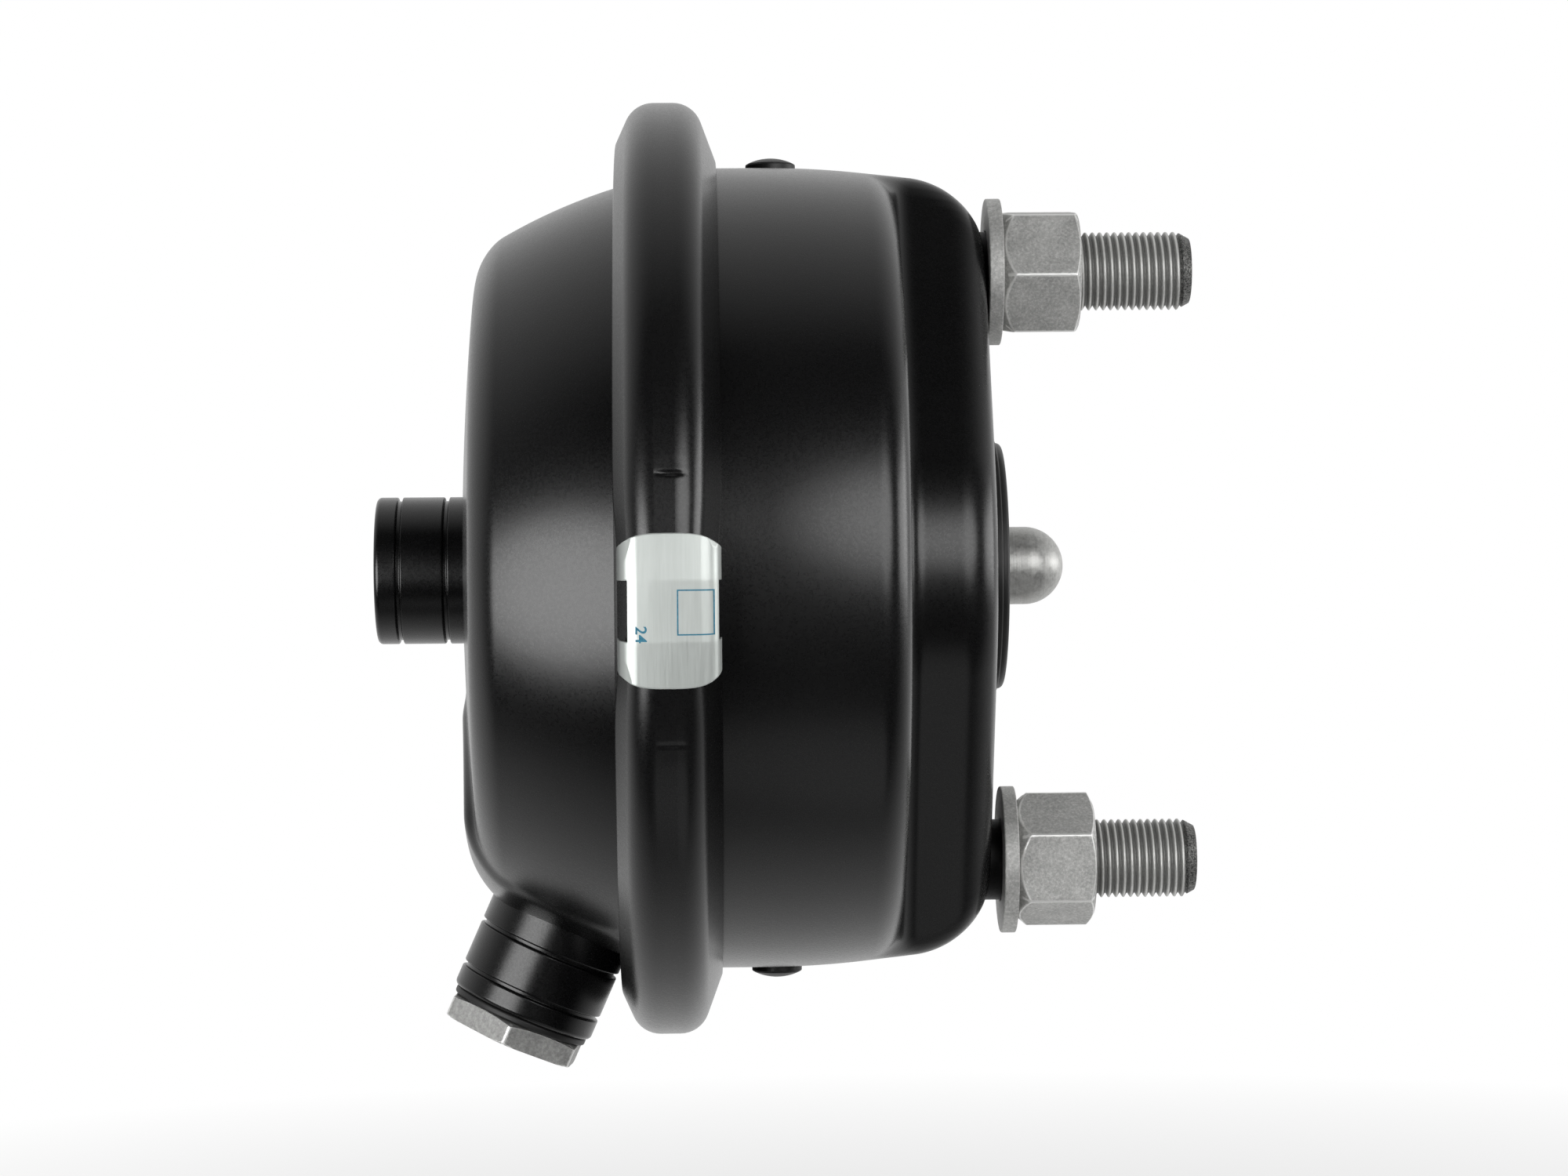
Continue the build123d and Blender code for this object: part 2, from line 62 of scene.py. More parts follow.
# ---- sizes, in mm ----
# An _R is a radius, _X a place along the axis, _T a thickness, _H a height, _W a width, _AF
# a width across flats; a name that ends in _EDGE, _FOOT or _CORNER is a rounding's radius.
WALL = 3.0
STUD_Z = 60.325
STUD_R, STUD_SHANK_R, STUD_NECK_R, STUD_HEAD_R = 8.0, 8.25, 7.45, 12.0
STUD_HEAD_X, STUD_SEAT_X, STUD_TIP_X = -16.0, -9.0, 42.0
STUD_END_R, STUD_TAPER, STUD_TAPER_FROM = 2.4, 0.55, 2.6
PITCH, THREAD_DEPTH = 1.5, 0.92
WASHER_R, WASHER_BORE_R, WASHER_T = 15.0, 8.55, 3.0
NUT_AF, NUT_H, NUT_BORE_R = 24.0, 16.0, 7.5
# name, side of the axis, how far the washer stands off the face, the nut's turn in degrees
FASTENERS = (("upper", 1, 0.0, 6.9), ("lower", -1, 2.0, 35.5))

CAN_R, CAN_BEND_X, CAN_SHOULDER_R, CAN_CORNER = 81.6, -36.0, 79.4, 16.0
SHOULDER_X, SHOULDER_EDGE = -19.4, 6.0
CAN_BLEND, CAP_BLEND = 1.1, 2.6          # reach of the blend where can and cap grow narrower
FLANGE_HALF, FLANGE_EDGE, FLANGE_FOOT, FLANGE_TIP_EDGE = 46.0, 8.0, 4.0, 2.0
FLANGE_LEAN = 28.7       # degrees between a straight side's normal and Y
FLANGE_DRAFT = 0.06      # how much the flange's side leans in towards its top, per mm
PLATE_BACK_X, PLATE_BORE_R, PLATE_EDGE = -9.0, 26.0, 9.0
MOUTH_R = 22.0
CAN_EYE_X, CAP_EYE_X = -45.0, -75.0      # where the rays that find can and cap start

RIM_X, RIM_R, RIM_T = -65.6, 90.5, 3.0
RIM_SLOPE = 0.2867       # how fast a rim's outer face leans away, per mm inwards
BEAD_T = 4.0
RING_R, RING_CAP_HALF, RING_CAN_HALF, RING_CROWN_HALF = 94.85, 9.8, 10.4, 6.0
RING_HIP_R, RING_FOOT_R, RING_CAN_R, RING_CAP_R, RING_CORNER = 86.5, 82.9, 82.1, 78.9, 6.0
RING_GAP = 1.8           # between the rims and the inside of the ring's crown
PINCH, PINCH_REACH, PINCH_FADE = 0.75, 17.5, 2.6
PRESS_X, PRESS_AT, PRESS_W, PRESS_DEPTH = 0.9, 25.4, 0.42, 0.42

CAP_R, CAP_FOOT_X, CAP_BEND_X, CAP_BEND_R = 78.2, RIM_X - 8.5, -88.1, 73.8
CAP_EDGE_X, CAP_EDGE_R, CAP_EDGE, CAP_BACK_X = -103.1, 65.2, 4.5, -106.8
PAD_X, PAD_R, PAD_FOOT_X, PAD_FOOT_R = -106.4, 65.0, -90.0, CAP_BEND_R - 1.5
PAD_HALF, PAD_TOP_Z = 29.0, -22.0
PAD_EDGE, PAD_SIDE_EDGE, PAD_TOP_EDGE, PAD_FOOT = 9.0, 3.0, 8.0, 1.5

PORT_BORE_R, PORT_R, PORT_H = 7.25, 15.0, 18.6
PORT_SUNK = 2.5          # how far a port's foot goes into the cap's wall
PORT_CUTS, PORT_CUT_W, PORT_CUT_D = (4.3, 13.8), 1.0, 0.8
AXIAL_FOOT_X = -106.2
ANGLED_TILT, ANGLED_FOOT_X, ANGLED_FOOT_Z = 24.0, -88.6, -73.4
SEAL_R, SEAL_T = 14.3, 1.5
PLUG_AF, PLUG_H, PLUG_SHANK, PLUG_TURN = 27.0, 4.7, 12.0, 4.0
CONE = math.tan(math.radians(30))        # of the cones that cut a hexagon's corners
NUT_FLAT, PLUG_FLAT = 0.955, 0.965       # where those start, a share of the way to the flats

TAG_T, TAG_HALF, TAG_NOTCH, TAG_W, TAG_X, TAG_Z = 0.5, 14.3, 5.7, 9.65, -65.0, -8.3
TAG_LEG_R, NOTCH_LEFT, NOTCH_RIGHT = 86.0, 7.7, 9.1
ARCH = 0.42              # power of the clip's superellipse
TAG_BOW = 0.17           # how far the clip's ends are drawn in towards their corners
VENT_X, VENT_R, VENT_HEAD_R, VENT_RISE, VENT_DOME = -43.9, 3.0, 5.0, 1.0, 1.3

ROD_R, ROD_TIP_X, ROD_BACK_X = 7.94, 15.5, -96.0
LIP_R, LIP_STEP_R, LIP_H, LIP_STEP, LIP_BORE_R = 26.0, 25.2, 2.8, 1.4, 18.7
BELLOWS_R, BELLOWS_ROOT_R, BELLOWS_T, BELLOWS_FOLDS = 19.5, 12.5, 1.4, 8
BELLOWS_RING_R, BELLOWS_RING_X, BELLOWS_NECK_R, BELLOWS_NECK_W = 25.6, -5.0, 9.4, 4.0
BELLOWS_FIRST_X, BELLOWS_LAST_X, BELLOWS_FOLD_EDGE = -9.0, -81.0, 0.9
SKIN_LINE = [            # the diaphragm's outline: x, r, rounding
    (-63.6, 78.6), (-63.6, 90.0, 0.8), (-67.6, 90.0, 0.8), (-67.6, 75.2, 1.5),
    (-70.6, 73.8, 2.0), (-88.1, 69.4, 6.0), (-99.0, 59.3, 4.0), (-99.0, 0),
    (-96.0, 0), (-96.0, 57.8, 2.0), (-87.6, 66.4, 6.0), (-70.1, 70.8, 3.0),
]
WIRE, COIL_FLANGE_R, COIL_PLATE_R, COIL_TURNS, COIL_FLAT = 4.8, 33.0, 49.0, 4.5, 0.75
COIL_PLATE_X, COIL_FLANGE_X = -89.48, -13.02

# ---- light and view, in metres and degrees ----
# name, turn and rise from the front, distance, width and height, radiance, shape
LAMPS = (
    ("left_soft_box", -40.5, -6, 1.0, (0.92, 0.70), 6.6, "ELLIPSE"),
    ("right_soft_box", 27.5, 11.5, 1.0, (0.80, 0.56), 4.3, "ELLIPSE"),
    ("side_soft_box", 93, 6, 1.5, (1.0, 0.50), 4.4, "RECTANGLE"),
    ("low_soft_box", 18, -54, 1.0, (0.7, 0.45), 0.44, "ELLIPSE"),
)
LAMPS_AIM = (-0.05, 0, 0)
SKY_UP, SKY_ALONG, SKY_RANGE, SKY_LIGHT = 0.25, 0.12, (-0.22, 1.15), 0.85
SCREEN_WAY, SCREEN_COSINE, SCREEN_DEPTH = (-0.9, -0.3, -0.3), 0.84, 1.6
FLOOR_Z, FLOOR_REACH, FLOOR_FADE, FLOOR_BEHIND = -0.15, 4.0, (0.16, 0.42), (-0.1, 0.3)
CAMERA_AT, CAMERA_YAW, CAMERA_ROLL, CAMERA_LENS = (-0.062, -0.848, -0.0042), 1.365, -0.5, 94.9


# ---- mesh helpers ----
def piece(name, points, body, material, wrap_v=True, wear_and_painted_light=None):
    """Closed skin over a grid of points in mm: columns go round, rows follow the outline.

    The grid is joined to itself round the columns and, with wrap_v, along the rows; without
    it, each end row is a single point on an axis, and its doubles are merged.
    wear_and_painted_light is a share from 0 to 1 for each point, kept for the material as the
    attribute "wear_and_painted_light": wear, with painted shade in thread grooves and a
    painted highlight on hexagon corners.
    """
    columns, rows = points.shape[:2]
    here = np.arange(columns * rows).reshape(columns, rows)
    ahead = np.roll(here, -1, axis=0)
    last = rows if wrap_v else rows - 1
    ring_of_four = (here, ahead, np.roll(ahead, -1, axis=1), np.roll(here, -1, axis=1))
    quads = np.stack([spot[:, :last] for spot in ring_of_four], axis=-1).reshape(-1, 4)
    mesh = bpy.data.meshes.new(name)
    mesh.vertices.add(columns * rows)
    mesh.vertices.foreach_set("co", (points.reshape(-1) * MM).astype(np.float32))
    mesh.loops.add(quads.size)
    mesh.loops.foreach_set("vertex_index", quads.reshape(-1).astype(np.int32))
    mesh.polygons.add(len(quads))
    mesh.polygons.foreach_set("loop_start", (np.arange(len(quads)) * 4).astype(np.int32))
    mesh.update(calc_edges=True)
    if wear_and_painted_light is not None:
        worn = mesh.attributes.new("wear_and_painted_light", "FLOAT", "POINT")
        shares = np.broadcast_to(wear_and_painted_light, points.shape[:2]).astype(np.float32)
        worn.data.foreach_set("value", shares.reshape(-1))
    return settle(name, mesh, body, material)


def linked(name, data):
    """New object of a mesh, lamp or camera, in the scene."""
    obj = bpy.data.objects.new(name, data)
    bpy.context.collection.objects.link(obj)
    return obj


def placed(name, mesh, body, material):
    """Gives a mesh its one material and puts it in the scene, on its body if it has one."""
    mesh.materials.clear()
    mesh.materials.append(material)
    obj = linked(name, mesh)
    if body:
        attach(obj, body)
    return obj


def settle(name, mesh, body, material):
    """Merges doubles, turns the faces outwards, smooths them and places the piece."""
    work = bmesh.new()
    work.from_mesh(mesh)
    bmesh.ops.remove_doubles(work, verts=work.verts, dist=1e-7)
    bmesh.ops.dissolve_degenerate(work, edges=work.edges, dist=1e-8)
    bmesh.ops.recalc_face_normals(work, faces=work.faces)
    work.to_mesh(mesh)
    work.free()
    mesh.polygons.foreach_set("use_smooth", [True] * len(mesh.polygons))
    return placed(name, mesh, body, material)


def outline(corners, closed=True, span=1.5):
    """Points along (a, b, rounding) corners: each rounding an arc of its radius in steps of
    9 degrees at most, each straight run divided about every span, with a point near its ends
    so that smooth shading keeps the run flat."""
    spots = [np.array(c[:2], float) for c in corners]
    rounds = [c[2] if len(c) > 2 else 0 for c in corners]
    count = len(spots)
    runs = []
    for i, spot in enumerate(spots):
        radius = rounds[i]
        inner = closed or 0 < i < count - 1
        before, after = spots[i - 1] - spot, spots[(i + 1) % count] - spot
        if not radius or not inner:
            runs.append([spot])
            continue
        u, v = before / np.linalg.norm(before), after / np.linalg.norm(after)
        half = math.acos(np.clip(np.dot(u, v), -1, 1)) / 2
        middle = spot + (u + v) / np.linalg.norm(u + v) * radius / math.sin(half)
        reach = radius / math.tan(half)
        start, end = spot + u * reach - middle, spot + v * reach - middle
        turn = math.pi - 2 * half
        steps = max(3, math.ceil(turn / math.radians(9)))
        shares = np.linspace(0, 1, steps + 1)[:, None]
        arc = (np.sin((1 - shares) * turn) * start + np.sin(shares * turn) * end) / math.sin(turn)
        runs.append(list(middle + arc))
    points = []
    for i, run in enumerate(runs):
        points += run
        if i == count - 1 and not closed:
            break
        here, there = run[-1], runs[(i + 1) % count][0]
        gap = np.linalg.norm(there - here)
        if gap < 1e-6:
            continue
        near = min(0.12, gap / 4)
        inside = np.linspace(near, gap - near, max(2, int(gap / span) + 1))
        points += [here + (there - here) * s / gap for s in inside]
    return np.array(points)


def even_turns(steps):
    """Column of turns in even steps from 0, short of the full circle."""
    return np.linspace(0, TAU, steps, endpoint=False)[:, None]


def carried(x, r, t):
    """Points (x, r cos t, r sin t) round X."""
    return np.stack([x + 0 * t, r * np.cos(t), r * np.sin(t)], axis=-1)


def turned(line, t):
    """Grid of an (x, r) outline carried round X, in even steps or at a column of turns."""
    return carried(line[None, :, 0], line[None, :, 1], even_turns(t) if isinstance(t, int) else t)


def raised(points, z):
    """Grid moved up by z."""
    return points + np.array([0.0, 0.0, z])


def port_grid(points, angled):
    """Moves a grid drawn along +X from a port's foot to that port's place: the axial one is
    mirrored onto -X, the angled one points down and back by ANGLED_TILT from straight down."""
    if not angled:
        return points * np.array([-1, 1, 1]) + np.array([AXIAL_FOOT_X, 0, 0])
    tilt = math.radians(ANGLED_TILT)
    out = np.array([-math.sin(tilt), 0, -math.cos(tilt)])
    across = np.array([-math.cos(tilt), 0, math.sin(tilt)])
    foot = np.array([ANGLED_FOOT_X, 0, ANGLED_FOOT_Z])
    x, y, z = points[..., 0:1], points[..., 1:2], points[..., 2:3]
    return foot + x * out + y * np.array([0, 1, 0]) + z * across


# ---- blended solids, found by rays ----
def both(a, b, r):
    """Overlap of two solids given as distances, its edge rounded with radius r."""
    outside = np.hypot(np.maximum(a + r, 0), np.maximum(b + r, 0))
    return np.minimum(np.maximum(a, b), -r) + outside


def either(a, b, r):
    """Union of two solids given as distances, the corner between them filled with radius r."""
    inside = np.hypot(np.maximum(r - a, 0), np.maximum(r - b, 0))
    return np.maximum(np.minimum(a, b), r) - inside


def steeper(a, b, reach):
    """Larger of two nearly parallel distances, gone over gently where they differ by less
    than reach: the larger, plus a quarter of what is left of reach, squared, over reach."""
    left = np.maximum(reach - np.abs(a - b), 0)
    return np.maximum(a, b) + left * left / (4 * reach)


def flange_side(y, z):
    """Distance outside the flange's outline: about the axis by FLANGE_HALF in the middle,
    and from there along straight sides whose normals lean FLANGE_LEAN from Y."""
    lean = math.radians(FLANGE_LEAN)
    out, up = np.abs(y), np.abs(z)
    middle = up * math.cos(lean) < out * math.sin(lean)
    return np.where(middle, np.hypot(y, z), out * math.cos(lean) + up * math.sin(lean)) - FLANGE_HALF


def can_solid(x, y, z):
    """Distance to the can: the union of the shoulder and the raised flange, both inside the
    same tapering drum. The shoulder is everything behind SHOULDER_X or inside the flange's
    outline, filled between them with FLANGE_FOOT and cut off where that filling ends. Its
    outer edge grows from FLANGE_TIP_EDGE at the flange to SHOULDER_EDGE, by the smooth step
    of the distance from the flange over the larger of the two."""
    r = np.hypot(y, z)
    taper = (CAN_R - CAN_SHOULDER_R) / (-CAN_CORNER - CAN_BEND_X)
    side = steeper(r - CAN_R, r - CAN_R + taper * (x - CAN_BEND_X), CAN_BLEND)
    off = flange_side(y, z) + FLANGE_DRAFT * (x - SHOULDER_X / 2)
    share = np.clip(off / SHOULDER_EDGE, 0, 1)
    edge = FLANGE_TIP_EDGE + (SHOULDER_EDGE - FLANGE_TIP_EDGE) * share * share * (3 - 2 * share)
    shoulder = both(side, either(x - SHOULDER_X, off, FLANGE_FOOT), edge)
    shoulder = np.maximum(shoulder, x - SHOULDER_X - FLANGE_FOOT)
    flange = both(both(side, x, CAN_CORNER), both(off, x, FLANGE_EDGE), FLANGE_TIP_EDGE)
    return np.minimum(shoulder, flange)


def line_side(x, r, a, b):
    """Distance outside the line from a to b in the (x, r) half plane: the cross product of
    the line's run and the way from a, over the run's length."""
    dx, dr = b[0] - a[0], b[1] - a[1]
    return ((r - a[1]) * dx - (x - a[0]) * dr) / math.hypot(dx, dr) * (1 if dx > 0 else -1)


def cap_solid(x, y, z):
    """Distance to the cap: two sloping side bands and a domed back, all rounded into each
    other, with a fuller corner over the angled port's side. The dome is a ball through the
    cap's edge and the middle of its back."""
    r = np.hypot(y, z)
    foot = (CAP_FOOT_X, CAP_R)
    bend = (CAP_BEND_X, CAP_BEND_R)
    edge = (CAP_EDGE_X, CAP_EDGE_R)
    side = steeper(line_side(x, r, bend, foot), line_side(x, r, edge, bend), CAP_BLEND)
    back_r = (CAP_EDGE_R**2 + (CAP_EDGE_X - CAP_BACK_X) ** 2) / (2 * (CAP_EDGE_X - CAP_BACK_X))
    back = np.hypot(x - CAP_BACK_X - back_r, r) - back_r
    body = both(side, back, CAP_EDGE)
    pad_side = line_side(x, r, (PAD_X, PAD_R), (PAD_FOOT_X, PAD_FOOT_R))
    pad = both(both(pad_side, PAD_X - x, PAD_EDGE), np.abs(y) - PAD_HALF, PAD_SIDE_EDGE)
    pad = both(pad, z - PAD_TOP_Z, PAD_TOP_EDGE)
    return either(body, pad, PAD_FOOT)


def by_rays(solid, inset, eye_x, columns, angles):
    """Skin of a solid found along rays from a point on the axis, halving to the surface.

    A ray leaves (eye_x, 0, 0) at an angle from +X in the half plane at each column's turn,
    and is halved 30 times between its start, inside, and 150 mm away, outside.
    """
    t = even_turns(columns)
    a = angles[None, :] + 0 * t
    ways = np.stack([np.cos(a), np.sin(a) * np.cos(t), np.sin(a) * np.sin(t)], axis=-1)
    near, far = np.zeros(a.shape), np.full(a.shape, 150.0)
    for _ in range(30):
        middle = (near + far) / 2
        p = ways * middle[..., None]
        inside = solid(p[..., 0] + eye_x, p[..., 1], p[..., 2]) + inset < 0
        near, far = np.where(inside, middle, near), np.where(inside, far, middle)
    return ways * near[..., None] + np.array([eye_x, 0, 0])


def rim_rows(side, outer_r, inner_r, columns):
    """Rows of a rim: out along its sloping face, over its edge and in along its flat face."""
    slope_x = RIM_X + side * (BEAD_T / 2 + RIM_T + (RIM_R - outer_r) * RIM_SLOPE)
    flat_x = RIM_X + side * BEAD_T / 2
    line = outline(
        [(slope_x, outer_r), (RIM_X + side * (BEAD_T / 2 + RIM_T), RIM_R, 0.6),
         (flat_x, RIM_R, 0.6), (flat_x, inner_r)],
        closed=False, span=3,
    )
    return turned(line, columns)


def angles_to(eye_x, points):
    """Angles from +X at which a ray from (eye_x, 0) meets each (x, r) point."""
    return np.array([math.atan2(r, x - eye_x) for x, r in points])


# ---- materials ----
class Graph:
    """A node tree under way, with short calls for the nodes used often."""

    def __init__(self, tree):
        self.tree = tree

    def give(self, socket, value):
        """Links an output to a socket, or sets a plain value on it."""
        if isinstance(value, bpy.types.NodeSocket):
            self.tree.links.new(value, socket)
        elif value is not None:
            socket.default_value = value

    def node(self, kind, **values):
        """New shader node, each value given to the input of its name, _ for a space."""
        made = self.tree.nodes.new("ShaderNode" + kind)
        for name, value in values.items():
            self.give(made.inputs[name.replace("_", " ")], value)
        return made

    def axis(self, vector, name):
        """One axis, X, Y or Z, of a vector."""
        return self.node("SeparateXYZ", Vector=vector).outputs[name]

    def maths(self, operation, a, b=None):
        """One step of arithmetic on outputs or numbers."""
        made = self.node("Math")
        made.operation = operation
        self.give(made.inputs[0], a)
        self.give(made.inputs[1], b)
        return made.outputs[0]

    def between(self, value, low, high, start=0.0, end=1.0):
        """start below low, end above high, straight between."""
        ends = {"From_Min": low, "From_Max": high, "To_Min": start, "To_Max": end}
        return self.node("MapRange", Value=value, **ends).outputs["Result"]

    def seen(self, mirrored_share):
        """1 to the camera, a share in gloss and through clear things, 0 as a light."""
        path = self.node("LightPath").outputs
        mirrored = self.maths("MAXIMUM", path["Is Glossy Ray"], path["Is Transmission Ray"])
        mirrored = self.maths("MULTIPLY", mirrored, mirrored_share)
        return self.maths("MAXIMUM", path["Is Camera Ray"], mirrored)

    def show(self, share, plain, white, output):
        """Sends a mix of two shaders, white by its share, to the tree's output node."""
        made = self.node("MixShader")
        for socket, value in zip(made.inputs, (share, plain.outputs[0], white.outputs[0])):
            self.give(socket, value)
        self.give(self.tree.nodes[output].inputs["Surface"], made.outputs[0])


class Finish(Graph):
    """A node material under way: its shader, its Object coordinates and its textures."""

    def __init__(self, name, color, roughness, metallic=0.0):
        self.material = bpy.data.materials.new(name)
        self.material.use_nodes = True
        self.material.diffuse_color = (*color, 1)
        super().__init__(self.material.node_tree)
        self.shader = self.tree.nodes["Principled BSDF"].inputs
        self.shader["Base Color"].default_value = (*color, 1)
        self.shader["Roughness"].default_value = roughness
        self.shader["Metallic"].default_value = metallic
        self.coords = self.node("TexCoord").outputs["Object"]

    def color(self, value):
        self.give(self.shader["Base Color"], value)

    def roughness(self, value):
        self.give(self.shader["Roughness"], value)

    def stretched(self, scale):
        return self.node("Mapping", Vector=self.coords, Scale=scale).outputs["Vector"]

    def noise(self, scale, detail=4, rough=0.5, vector=None):
        given = {"Vector": vector or self.coords, "Scale": scale, "Detail": detail}
        return self.node("TexNoise", Roughness=rough, **given).outputs["Fac"]

    def wear_and_painted_light(self):
        """Share of wear and painted light on the piece, from its own attribute."""
        made = self.node("Attribute")
        made.attribute_name = "wear_and_painted_light"
        return made.outputs["Fac"]

    def ramp(self, value, *shades, at=(0.3, 0.7)):
        """Maps a value to colours or greys, each at its place from 0 to 1."""
        made = self.node("ValToRGB", Fac=value)
        marks = made.color_ramp.elements
        while len(marks) < len(shades):
            marks.new(0.5)
        for mark, place, shade in zip(marks, at, shades):
            mark.position = place
            mark.color = (*shade, 1) if isinstance(shade, tuple) else (shade, shade, shade, 1)
        return made.outputs["Color"]

    def mixed(self, share, a, b):
        """Colour or grey that goes from a to b with the share."""
        made = self.node("Mix")
        made.data_type = "RGBA"
        self.give(made.inputs[0], share)
        for socket, value in ((made.inputs[6], a), (made.inputs[7], b)):
            if isinstance(value, float):
                value = (value, value, value)
            self.give(socket, (*value, 1) if isinstance(value, tuple) else value)
        return made.outputs[2]

    def bump(self, height, distance, strength=1.0):
        """Bump in metres, over any bump given before."""
        made = self.node("Bump", Distance=distance, Strength=strength, Height=height)
        old = self.shader["Normal"].links
        if old:
            self.give(made.inputs["Normal"], old[0].from_socket)
        self.give(self.shader["Normal"], made.outputs["Normal"])


def satin_black_paint():
    """Baked black paint: faint orange peel, fine grain, and patches a little more dull."""
    f = Finish("satin_black_paint", (0.003, 0.003, 0.0031), 0.27)
    patches = f.noise(14, 5, 0.6)
    grain = f.noise(1700, 3, 0.65)
    dull = f.ramp(patches, 0.0, 1.0, at=(0.3, 0.75))
    f.color(f.mixed(dull, (0.0026, 0.0026, 0.0028), (0.0046, 0.0046, 0.0047)))
    f.roughness(f.mixed(0.4, f.ramp(patches, 0.25, 0.32), f.ramp(grain, 0.2, 0.36)))
    f.bump(f.noise(230, 3), 0.00005, 0.3)
    f.bump(grain, 0.00002, 0.3)
    return f.material


def flake_zinc(name, shade, grain):
    """Dull zinc flake coat: bright and dark grains over grey in soft clouds, polished
    through along the worn corners, with a painted edge highlight there too."""
    tone = lambda k: (k * shade, k * shade, k * shade * 0.975)
    f = Finish(name, tone(1.0), 0.55, 0.6)
    grains = f.noise(grain, 4, 0.75)
    cloud = f.noise(210, 5, 0.65)
    base = f.ramp(grains, tone(0.55), tone(1.0), tone(1.6), at=(0.3, 0.5, 0.68))
    base = f.mixed(0.4, base, f.ramp(cloud, tone(0.68), tone(1.4), at=(0.32, 0.68)))
    # worn zinc and painted edge highlight: pale and smooth along the corners
    share = f.ramp(f.mixed(0.45, f.wear_and_painted_light(), f.noise(900, 3, 0.7)), 0.0, 1.0, at=(0.42, 0.62))
    f.color(f.mixed(share, base, (0.80, 0.80, 0.785)))
    f.roughness(f.mixed(share, f.ramp(cloud, 0.48, 0.64, at=(0.25, 0.75)), 0.36))
    f.bump(grains, 0.0001, 0.6)
    return f.material


def threaded_zinc():
    """The same coat on a thread, its grooves darkened by painted shade and its crests worn
    bright, pitted on the stud's cut end; the part of the stud that goes through the flange,
    behind its washer, is black."""
    f = Finish("threaded_zinc", (0.38, 0.38, 0.37), 0.5, 0.6)
    grains = f.noise(2200, 4, 0.7)
    x = f.axis(f.coords, "X")
    tip = f.between(x, (STUD_TIP_X - 3.0) * MM, (STUD_TIP_X - 2.3) * MM)
    bright = f.ramp(grains, (0.32, 0.32, 0.31), (0.62, 0.62, 0.60))
    # painted shade darkens the grooves and the crests are worn bright, by the thread's height
    crest = (0.09, 0.09, 0.088), (0.30, 0.30, 0.29), (0.80, 0.80, 0.78)
    crest = f.ramp(f.wear_and_painted_light(), *crest, at=(0.0, 0.5, 0.97))
    pits = f.noise(2600, 3, 0.8)
    dark = f.ramp(pits, (0.02, 0.02, 0.02), (0.26, 0.26, 0.25), at=(0.40, 0.62))
    bare = f.mixed(tip, f.mixed(0.6, bright, crest), dark)
    f.color(f.mixed(f.between(x, 2.6 * MM, 2.8 * MM), (0.004, 0.004, 0.004), bare))
    f.roughness(f.ramp(grains, 0.42, 0.58))
    f.bump(grains, 0.00008, 0.5)
    return f.material


def turned_steel():
    """Bright rod: fine rings from turning, a soft sheen and scattered specks."""
    f = Finish("turned_steel", (0.50, 0.50, 0.485), 0.42, 0.8)
    rings = f.noise(40, 4, 0.7, f.stretched((90, 2, 2)))
    specks = f.noise(900, 4, 0.75)
    lined = f.ramp(rings, (0.40, 0.40, 0.39), (0.58, 0.58, 0.565))
    flecked = f.ramp(specks, (0.28, 0.28, 0.27), (0.66, 0.66, 0.64), at=(0.3, 0.62))
    f.color(f.mixed(0.55, lined, flecked))
    f.roughness(f.ramp(specks, 0.36, 0.56))
    f.bump(rings, 0.00005, 0.6)
    f.bump(specks, 0.00006, 0.5)
    return f.material


def satin_sheet():
    """Bright rolled sheet: long fine lines, pale green-white, soft sheen, and painted shade
    that darkens the leg on the cap's side."""
    f = Finish("satin_sheet", (0.55, 0.58, 0.56), 0.42, 0.6)
    lines = f.noise(60, 4, 0.6, f.stretched((60, 2, 2)))
    cloud = f.noise(90, 3, 0.5)
    lined = f.ramp(lines, (0.52, 0.555, 0.53), (0.59, 0.62, 0.60))
    clouded = f.ramp(cloud, (0.53, 0.565, 0.54), (0.58, 0.61, 0.59))
    # painted shade: the leg on the cap's side is coloured darker, as it stands in shade
    leg = f.between(f.axis(f.coords, "X"), (TAG_X - 9.2) * MM, (TAG_X - 7.8) * MM)
    f.color(f.mixed(leg, (0.27, 0.285, 0.275), f.mixed(0.4, lined, clouded)))
    f.roughness(f.ramp(lines, 0.37, 0.48))
    f.bump(lines, 0.00002, 0.3)
    return f.material


def blue_print():
    """Thin blue ink with a grain that lets a little of the sheet through."""
    f = Finish("blue_print", (0.01, 0.13, 0.20), 0.6)
    grain = f.noise(1800, 3, 0.7)
    f.color(f.ramp(grain, (0.008, 0.11, 0.18), (0.03, 0.22, 0.32), at=(0.35, 0.75)))
    return f.material


def moulded_rubber():
    """Black rubber: soft grain, faint pale bloom in broad patches."""
    f = Finish("moulded_rubber", (0.006, 0.006, 0.006), 0.5)
    bloom = f.noise(60, 4, 0.6)
    f.color(f.ramp(bloom, (0.005, 0.005, 0.005), (0.012, 0.012, 0.0115), at=(0.35, 0.8)))
    f.roughness(f.ramp(bloom, 0.42, 0.58))
    f.bump(f.noise(1200, 3, 0.6), 0.00004, 0.4)
    return f.material


def plain_steel(name, color, roughness):
    """Bare or oiled pressed steel inside the chamber: rolling lines and stains."""
    f = Finish(name, color, roughness, 1.0)
    stains = f.noise(40, 5, 0.6)
    f.color(f.ramp(stains, tuple(c * 0.7 for c in color), color))
    f.roughness(f.ramp(stains, roughness - 0.08, roughness + 0.1))
    f.bump(f.noise(900, 3, 0.6), 0.00003, 0.4)
    return f.material


